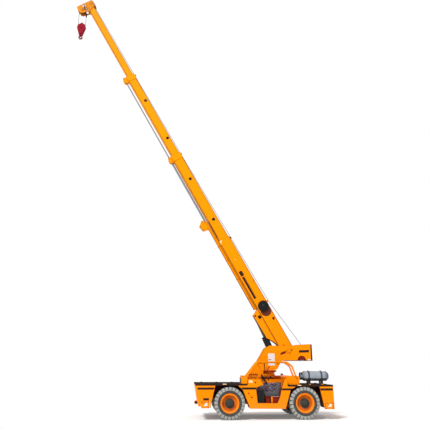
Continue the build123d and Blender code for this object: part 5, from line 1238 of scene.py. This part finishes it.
def make_reel_trim():
    """Back plate, hub and rim of the cable reel."""
    moon = Shape(BOOM).turned([(0.0, 0.1703), (0.195, 0.1703), (0.198, 0.1725), (0.194, 0.176),
                               (0.0, 0.176)], (1.600, 0, 0.022), "Y", 64)
    moon.bolts([(1.600 + 0.160 * math.cos(a), 0.176, 0.022 + 0.160 * math.sin(a))
                for a in (2.2, 2.9, 3.6, 4.3)], (0, 1, 0), 0.012, 0.008)
    moon.done("reel_plate", "boom_base", "red_brown")
    reel = Shape(BOOM).turned([(0.0, 0.2303), (0.050, 0.2303), (0.056, 0.240), (0.040, 0.250),
                               (0.0, 0.252)], (1.784, 0, 0.024), "Y", 40)
    reel.turned([(0.150, 0.2303), (0.178, 0.2303), (0.176, 0.238), (0.152, 0.238)], (1.784, 0, 0.024), "Y",
                64)
    reel.bolts(around((1.784, 0.2303, 0.024), 0.100, 8), (0, 1, 0), 0.010, 0.007)
    reel.done("reel_trim", "boom_base", "black", slot="black_plastic")


def make_rope_forks():
    """Forks that hold the hoist rope above the tips."""
    for name, along, low, high in (("boom_base", 4.600, 0.2245, 0.300),
                                   ("boom_section_2", 8.540, 0.2092, 0.262),
                                   ("boom_section_3", 12.630, 0.1792, 0.235)):
        fork = Shape(BOOM)
        for side in (1, -1):
            y0, y1 = sorted((side * 0.022, side * 0.030))
            fork.plate([(along - 0.060, low), (along + 0.050, low), (along + 0.030, high),
                        (along - 0.020, high)], y0, y1)
        fork.block((along - 0.060, -0.060, low), (along + 0.050, 0.060, low + 0.006))
        fork.bolts([(along + dx, dy, low + 0.006) for dx in (-0.042, 0.034) for dy in (-0.047, 0.047)],
                   (0, 0, 1), 0.007, 0.006)
        fork.done(f"rope_fork_{name}", name, "red_brown", 0.001)


def make_collar_trim():
    """Cheeks, bolts and rod nuts of the two outer collars."""
    for name, tip, half_z, half_y in (("boom_section_2", 8.600, 0.2095, 0.157),
                                      ("boom_section_3", 12.690, 0.1795, 0.132)):
        cheeks = Shape(BOOM)
        for side in (1, -1):
            y0, y1 = sorted((side * 0.0605, side * 0.072))
            cheeks.plate([(tip - 0.258, -half_z + 0.002), (tip - 0.002, -half_z + 0.002),
                          (tip - 0.002, -0.300), (tip - 0.060, -0.350), (tip - 0.200, -0.350),
                          (tip - 0.258, -0.300)], y0, y1)
            cheeks.bolts([(tip - 0.130 + dx, side * 0.072, -0.277 + dz) for dx in (-0.080, 0.080)
                          for dz in (-0.030, 0.030)], (0, side, 0), 0.010, 0.009)
            cheeks.bolts([(along, side * half_y, above) for along in (tip - 0.225, tip - 0.035)
                          for above in (-half_z + 0.035, half_z - 0.035)], (0, side, 0), 0.011, 0.009)
        cheeks.done(f"collar_cheeks_{name}", name, "boom", 0.002)
        nut = Shape(BOOM).turned([(0.0, tip + 0.0203), (0.034, tip + 0.0203), (0.036, tip + 0.026),
                                  (0.030, tip + 0.044), (0.0, tip + 0.046)], (0, 0, -0.277), "X", 12)
        nut.done(f"rod_nut_{name}", "boom_section_2" if tip < 9 else "boom_section_3", "axle")


def make_barrel_trim():
    """Painted-shade plate behind the bracket's window, gland bolts and clips below the base section."""
    # Painted shade: a dark plate on the far ear stands for the shaded inside seen through the window
    window_shade = Shape(BOOM).plate(tile(1.435, 1.585, -0.360, -0.220, 0.010), -0.1217, -0.1190)
    window_shade.done("bracket_window_shade", "boom_base", "red_brown")
    gland = Shape(BOOM)
    for side in (1, -1):
        gland.bolts([(along, side * 0.075, above) for along, above in
                     ((5.330, -0.330), (5.345, -0.490), (5.520, -0.530), (5.640, -0.400), (5.590, -0.325))],
                    (0, side, 0), 0.014, 0.011)
    gland.done("gland_trim", "boom_base", "red_brown", 0.0005)
    clips = Shape(BOOM)
    for along in (2.300, 3.100, 3.900, 4.500):
        for side in (1, -1):
            low, high = sorted((side * 0.0705, side * 0.090))
            clips.block((along - 0.030, low, -0.2475), (along + 0.030, high, -0.2252))
        clips.tube([(along, 0.058 * math.cos(a), -0.277 + 0.058 * math.sin(a)) for a in
                    [math.radians(20 - 220 * i / 16) for i in range(17)]], 0.009, 8)
    clips.done("barrel_clips", "boom_base", "boom", 0.001)


def make_boom_pipes():
    """Two hydraulic pipes on the boom's right side."""
    pipes = Shape(BOOM)
    for above in (0.150, 0.172):
        pipes.tube([(1.340, -0.181, above), (4.420, -0.181, above)], 0.007, 8)
    for along in (1.500, 2.300, 3.100, 3.900):
        pipes.block((along - 0.020, -0.192, 0.136), (along + 0.020, -0.1702, 0.186))
    pipes.done("boom_pipes", "boom_base", "axle")


def make_head_trim():
    """Bands, pins and bolts on the sides of the boom's head."""
    face = 0.1093
    for side_name, side in SIDES:
        low = Shape(BOOM)
        band = []
        for x, z in ((-0.165, -0.082), (-0.108, -0.140), (0.088, -0.172), (0.212, -0.150), (0.222, -0.062),
                     (0.170, -0.100), (0.080, -0.118), (-0.080, -0.098)):
            band.append((SHEAVE_ALONG + x, -SHEAVE_BELOW + z))
        flat(low, side, band, face, 0.002)
        low.done(f"head_band_{side_name}", "boom_section_4", "boom", 0.0005)
        pins = Shape(BOOM)
        for along, above, radius, out in ((SHEAVE_ALONG, -SHEAVE_BELOW, 0.026, 0.1233),
                                          (TOP_SHEAVE_ALONG, TOP_SHEAVE_ABOVE, 0.020, 0.1233)):
            y0 = side * (out + 0.0002)
            pins.turned([(0.0, y0), (radius, y0), (radius * 0.9, side * (out + 0.006)),
                         (0.0, side * (out + 0.006))], (along, 0, above), "Y", 24)
        keeper = sorted((side * (face + 0.0002), side * (face + 0.008)))
        pins.block((SHEAVE_ALONG - 0.045, keeper[0], -SHEAVE_BELOW + 0.0615),
                   (SHEAVE_ALONG + 0.045, keeper[1], -SHEAVE_BELOW + 0.085))
        pins.bolts([(SHEAVE_ALONG + dx, side * (face + 0.008), -SHEAVE_BELOW + 0.073)
                    for dx in (-0.030, 0.030)], (0, side, 0), 0.009, 0.008)
        pins.bolts([(16.390 + 0.070 * k, side * face, 0.128) for k in range(6)]
                   + [(16.420 + 0.120 * k, side * face, -0.118) for k in range(4)], (0, side, 0), 0.010,
                   0.008)
        pins.done(f"head_pins_{side_name}", "boom_section_4", "axle", 0.0006)


def make_rope_keeper():
    """Keeper tubes, antenna, and painted shade on the inner face of the boom's head."""
    roller = Shape(BOOM)
    roller.tube([(16.500, 0.085, 0.1985), (16.660, 0.085, 0.2030), (16.815, 0.085, 0.1960)], 0.014, 12)
    roller.tube([(16.500, -0.085, 0.1985), (16.660, -0.085, 0.2030), (16.815, -0.085, 0.1960)], 0.014, 12)
    for along in (16.510, 16.800):
        roller.tube([(along, -0.085, 0.2000), (along, 0.085, 0.2000)], 0.010, 12)
    for side in (1, -1):
        for along in (16.520, 16.790):
            roller.tube([(along, side * 0.100, 0.180), (along, side * 0.092, 0.200)], 0.010, 10)
    roller.done("rope_keeper", "boom_section_4", "red_brown")
    mast = Shape().tube([boom_point(16.835, 0.160, 0.102), boom_point(16.850, 0.190, 0.102),
                         boom_point(16.850, 0.190, 0.102) + Vector((0, 0, 0.055))], 0.005, 8)
    mast.done("head_antenna", "boom_section_4", "black")
    # Painted shade: the far plate's inner face is drawn dark red-brown
    inside = Shape(BOOM).plate([(SHEAVE_ALONG + x, -SHEAVE_BELOW + z) for x,
                                z in ((-0.125, 0.210), (0.205, 0.210), (0.235, 0.480), (-0.045, 0.480),
                                      (-0.190, 0.240))], -0.0935, -0.0905)
    inside.done("head_inner_shade", "boom_section_4", "red_brown")


def make_hook_trim():
    """Cheek bolts, cheek weights, latch and swivel nut of the hook block."""
    main = boom_point(SHEAVE_ALONG, -SHEAVE_BELOW)
    x, z = main.x, main.z - FALL_LENGTH
    bolts = Shape()
    for side in (1, -1):
        face = side * 0.042
        bolts.bolts([(x + dx, face, z + dz) for dx, dz in ((-0.045, 0.190), (0.045, 0.190), (-0.118, 0.120),
                                                           (0.118, 0.120), (-0.150, -0.030),
                                                           (0.150, -0.030), (-0.050, -0.330),
                                                           (0.050, -0.330))], (0, side, 0), 0.013, 0.010)
        bolts.turned([(0.0, side * 0.0562), (0.023, side * 0.0562), (0.021, side * 0.061),
                      (0.0, side * 0.061)], (x, 0, z), "Y", 24)
        bolts.bolts(around((x, face, z), 0.052, 6), (0, side, 0), 0.006, 0.004)
    bolts.done("block_bolts", "hook_block", "crimson")
    weights = Shape()
    for side in (1, -1):
        y0, y1 = sorted((side * 0.0423, side * 0.056))
        weights.plate([(x - 0.118, z - 0.060), (x - 0.060, z - 0.310), (x + 0.060, z - 0.310),
                       (x + 0.118, z - 0.060), (x + 0.060, z - 0.085), (x - 0.060, z - 0.085)], y0, y1)
    weights.done("cheek_weights", "hook_block", "crimson", 0.005, segments=3)
    nut = Shape().turned([(0.0, z - 0.302), (0.032, z - 0.302), (0.036, z - 0.298), (0.036, z - 0.272),
                          (0.028, z - 0.266), (0.0, z - 0.266)], (x, 0, 0), "Z", 6)
    nut.done("swivel_nut", "hook", "axle", 0.001)
    eye = z - 0.486
    latch = Shape().skin([[(x - 0.034, y, eye + 0.052), (x - 0.044, y, eye + 0.050),
                           (x - 0.092, y, eye + 0.006), (x - 0.086, y, eye + 0.000)]
                           for y in (-0.012, 0.012)])
    latch.tube([(x - 0.036, -0.026, eye + 0.054), (x - 0.036, 0.026, eye + 0.054)], 0.006, 10)
    latch.done("hook_latch", "hook", "axle", 0.001)


def make_running_gear():
    """The driveshaft with its joints."""
    shaft = Shape()
    shaft.tube([(1.222, 0, 0.520), (1.160, 0, 0.524), (1.150, 0, 0.525), (-0.815, 0, 0.525),
                (-0.825, 0, 0.524), (-0.885, 0, 0.520)], 0.042, 20)
    for x in (1.185, -0.850):
        shaft.turned([(0.0, x - 0.040), (0.070, x - 0.036), (0.070, x - 0.018), (0.046, x - 0.012),
                      (0.046, x + 0.012), (0.070, x + 0.018), (0.070, x + 0.036), (0.0, x + 0.040)],
                      (0, 0, 0.522), "X", 28)
    shaft.done("driveshaft", "carrier", "axle", 0.0006)


def make_axle_fittings():
    """Spring clamps, cover bolts and steering cylinders of both axles."""
    clamps, rods = Shape(), Shape()
    for x in (FRONT_AXLE_X, REAR_AXLE_X):
        for side in (1, -1):
            y = side * 0.380
            for dx in (-0.086, 0.086):
                bend = [math.radians(180 + 20 * i) for i in range(1, 9)]
                loop = [(-0.034, 0.645), (-0.034, 0.440)]
                loop += [(0.034 * math.cos(a), 0.440 + 0.034 * math.sin(a)) for a in bend]
                loop += [(0.034, 0.440), (0.034, 0.645)]
                clamps.tube([(x + dx, y + across, z) for across, z in loop], 0.009, 8)
            clamps.block((x - 0.100, y - 0.055, 0.418), (x + 0.100, y + 0.055, 0.432))
        clamps.bolts(around((x, 0.0712, 0.500), 0.150, 12), (0, 1, 0), 0.010, 0.010)
        back = -0.215 if x > 0 else 0.215
        rods.tube([(x + back, -0.330, 0.470), (x + back, 0.120, 0.470)], 0.038, 20)
        rods.tube([(x + back, 0.115, 0.470), (x + back, 0.420, 0.470)], 0.018, 14)
        for y in (-0.330, 0.420):
            rods.tube([(x + back, y, 0.430), (x + back, y, 0.505)], 0.028, 16)
            rods.block((min(x, x + back), y - 0.022, 0.486), (max(x, x + back), y + 0.022, 0.500))
    clamps.done("spring_clamps", "carrier", "axle", 0.0005)
    rods.done("steering_cylinders", "carrier", "frame", 0.001)


def make_axle_pipes():
    """Brake pipes on both axles."""
    hoses = Shape()
    for x in (FRONT_AXLE_X, REAR_AXLE_X):
        for side in (1, -1):
            hoses.tube(curve_points([(x + 0.060, side * 0.330, 0.640), (x + 0.082, side * 0.420, 0.600),
                                     (x + 0.066, side * 0.560, 0.560), (x + 0.040, side * 0.640, 0.552)]),
                                     0.007, 8)
    hoses.done("axle_pipes", "carrier", "brown")


def make_floor():
    """Pale floor that fades to a white backdrop."""
    bpy.ops.mesh.primitive_plane_add(size=160, location=(0, 0, 0))
    floor = bpy.context.active_object
    floor.name = "studio_floor"
    material = bpy.data.materials.new("studio_floor")
    material.use_nodes = True
    tree = material.node_tree
    tree.nodes.clear()
    place = add_node(tree, "ShaderNodeTexCoord").outputs["Object"]
    far = add_node(tree, "ShaderNodeVectorMath", {0: place}, operation="LENGTH").outputs["Value"]
    fade = {"Value": far, "From Min": FLOOR_FADE[0], "From Max": FLOOR_FADE[1], "To Min": 0.15,
            "To Max": 1.0}
    share = add_node(tree, "ShaderNodeMapRange", fade).outputs["Result"]
    matt = add_node(tree, "ShaderNodeBsdfDiffuse", {"Color": (0.93, 0.93, 0.93, 1)}).outputs[0]
    glow = add_node(tree, "ShaderNodeEmission", {"Color": WHITE}).outputs[0]
    mixed = add_node(tree, "ShaderNodeMixShader", {0: share, 1: matt, 2: glow}).outputs[0]
    add_node(tree, "ShaderNodeOutputMaterial", {"Surface": mixed})
    floor.data.materials.append(material)


def make_light():
    """A soft sky that is white where it is seen, and one soft sun."""
    world = bpy.data.worlds.new("studio")
    bpy.context.scene.world = world
    world.use_nodes = True
    tree = world.node_tree
    light = tree.nodes["Background"]
    feed(light.inputs["Color"], (1.0, 0.99, 0.98, 1))
    feed(light.inputs["Strength"], SKY_STRENGTH)
    seen = add_node(tree, "ShaderNodeBackground", {"Color": WHITE, "Strength": 1.0}).outputs[0]
    rays = add_node(tree, "ShaderNodeLightPath").outputs
    either = {0: rays["Is Camera Ray"], 1: rays["Is Glossy Ray"]}
    most = add_node(tree, "ShaderNodeMath", either, operation="MAXIMUM").outputs[0]
    choice = add_node(tree, "ShaderNodeMixShader", {0: most, 1: light.outputs[0], 2: seen}).outputs[0]
    feed(tree.nodes["World Output"].inputs["Surface"], choice)
    sun = bpy.data.lights.new("soft_sun", "SUN")
    sun.energy = SUN_STRENGTH
    sun.angle = math.radians(SUN_SPREAD)
    lamp = bpy.data.objects.new("soft_sun", sun)
    bpy.context.scene.collection.objects.link(lamp)
    lamp.rotation_euler = Vector(SUN_FROM).to_track_quat("Z", "Y").to_euler()


def make_camera():
    """The photograph's view."""
    data = bpy.data.cameras.new("view")
    data.lens = CAMERA_LENS
    data.sensor_width = 36.0
    data.clip_end = 200.0
    camera = bpy.data.objects.new("view", data)
    bpy.context.scene.collection.objects.link(camera)
    camera.location = CAMERA_PLACE
    camera.rotation_euler = Vector(CAMERA_AIM).to_track_quat("-Z", "Y").to_euler()
    bpy.context.scene.camera = camera


bpy.context.scene.view_settings.view_transform = "Standard"
make_camera()
make_floor()
make_light()
dress_nodes()
make_wheels()
make_carrier_trim()
make_deck_fittings()
make_end_fittings()
make_seat()
make_ropes()
make_boom_marks()
make_boom_bands()
make_reel_trim()
make_rope_forks()
make_collar_trim()
make_barrel_trim()
make_boom_pipes()
make_louvres()
make_hood_fittings()
make_quilted_wall()
make_cab_panels()
make_levers()
make_dials()
make_pedals()
make_gas_tank_trim()
make_tank_valve()
make_turret_trim()
make_ring_trim()
make_hose_stubs()
make_winch_trim()
make_lift_trim()
make_head_trim()
make_rope_keeper()
make_hook_trim()
make_running_gear()
make_axle_fittings()
make_axle_pipes()
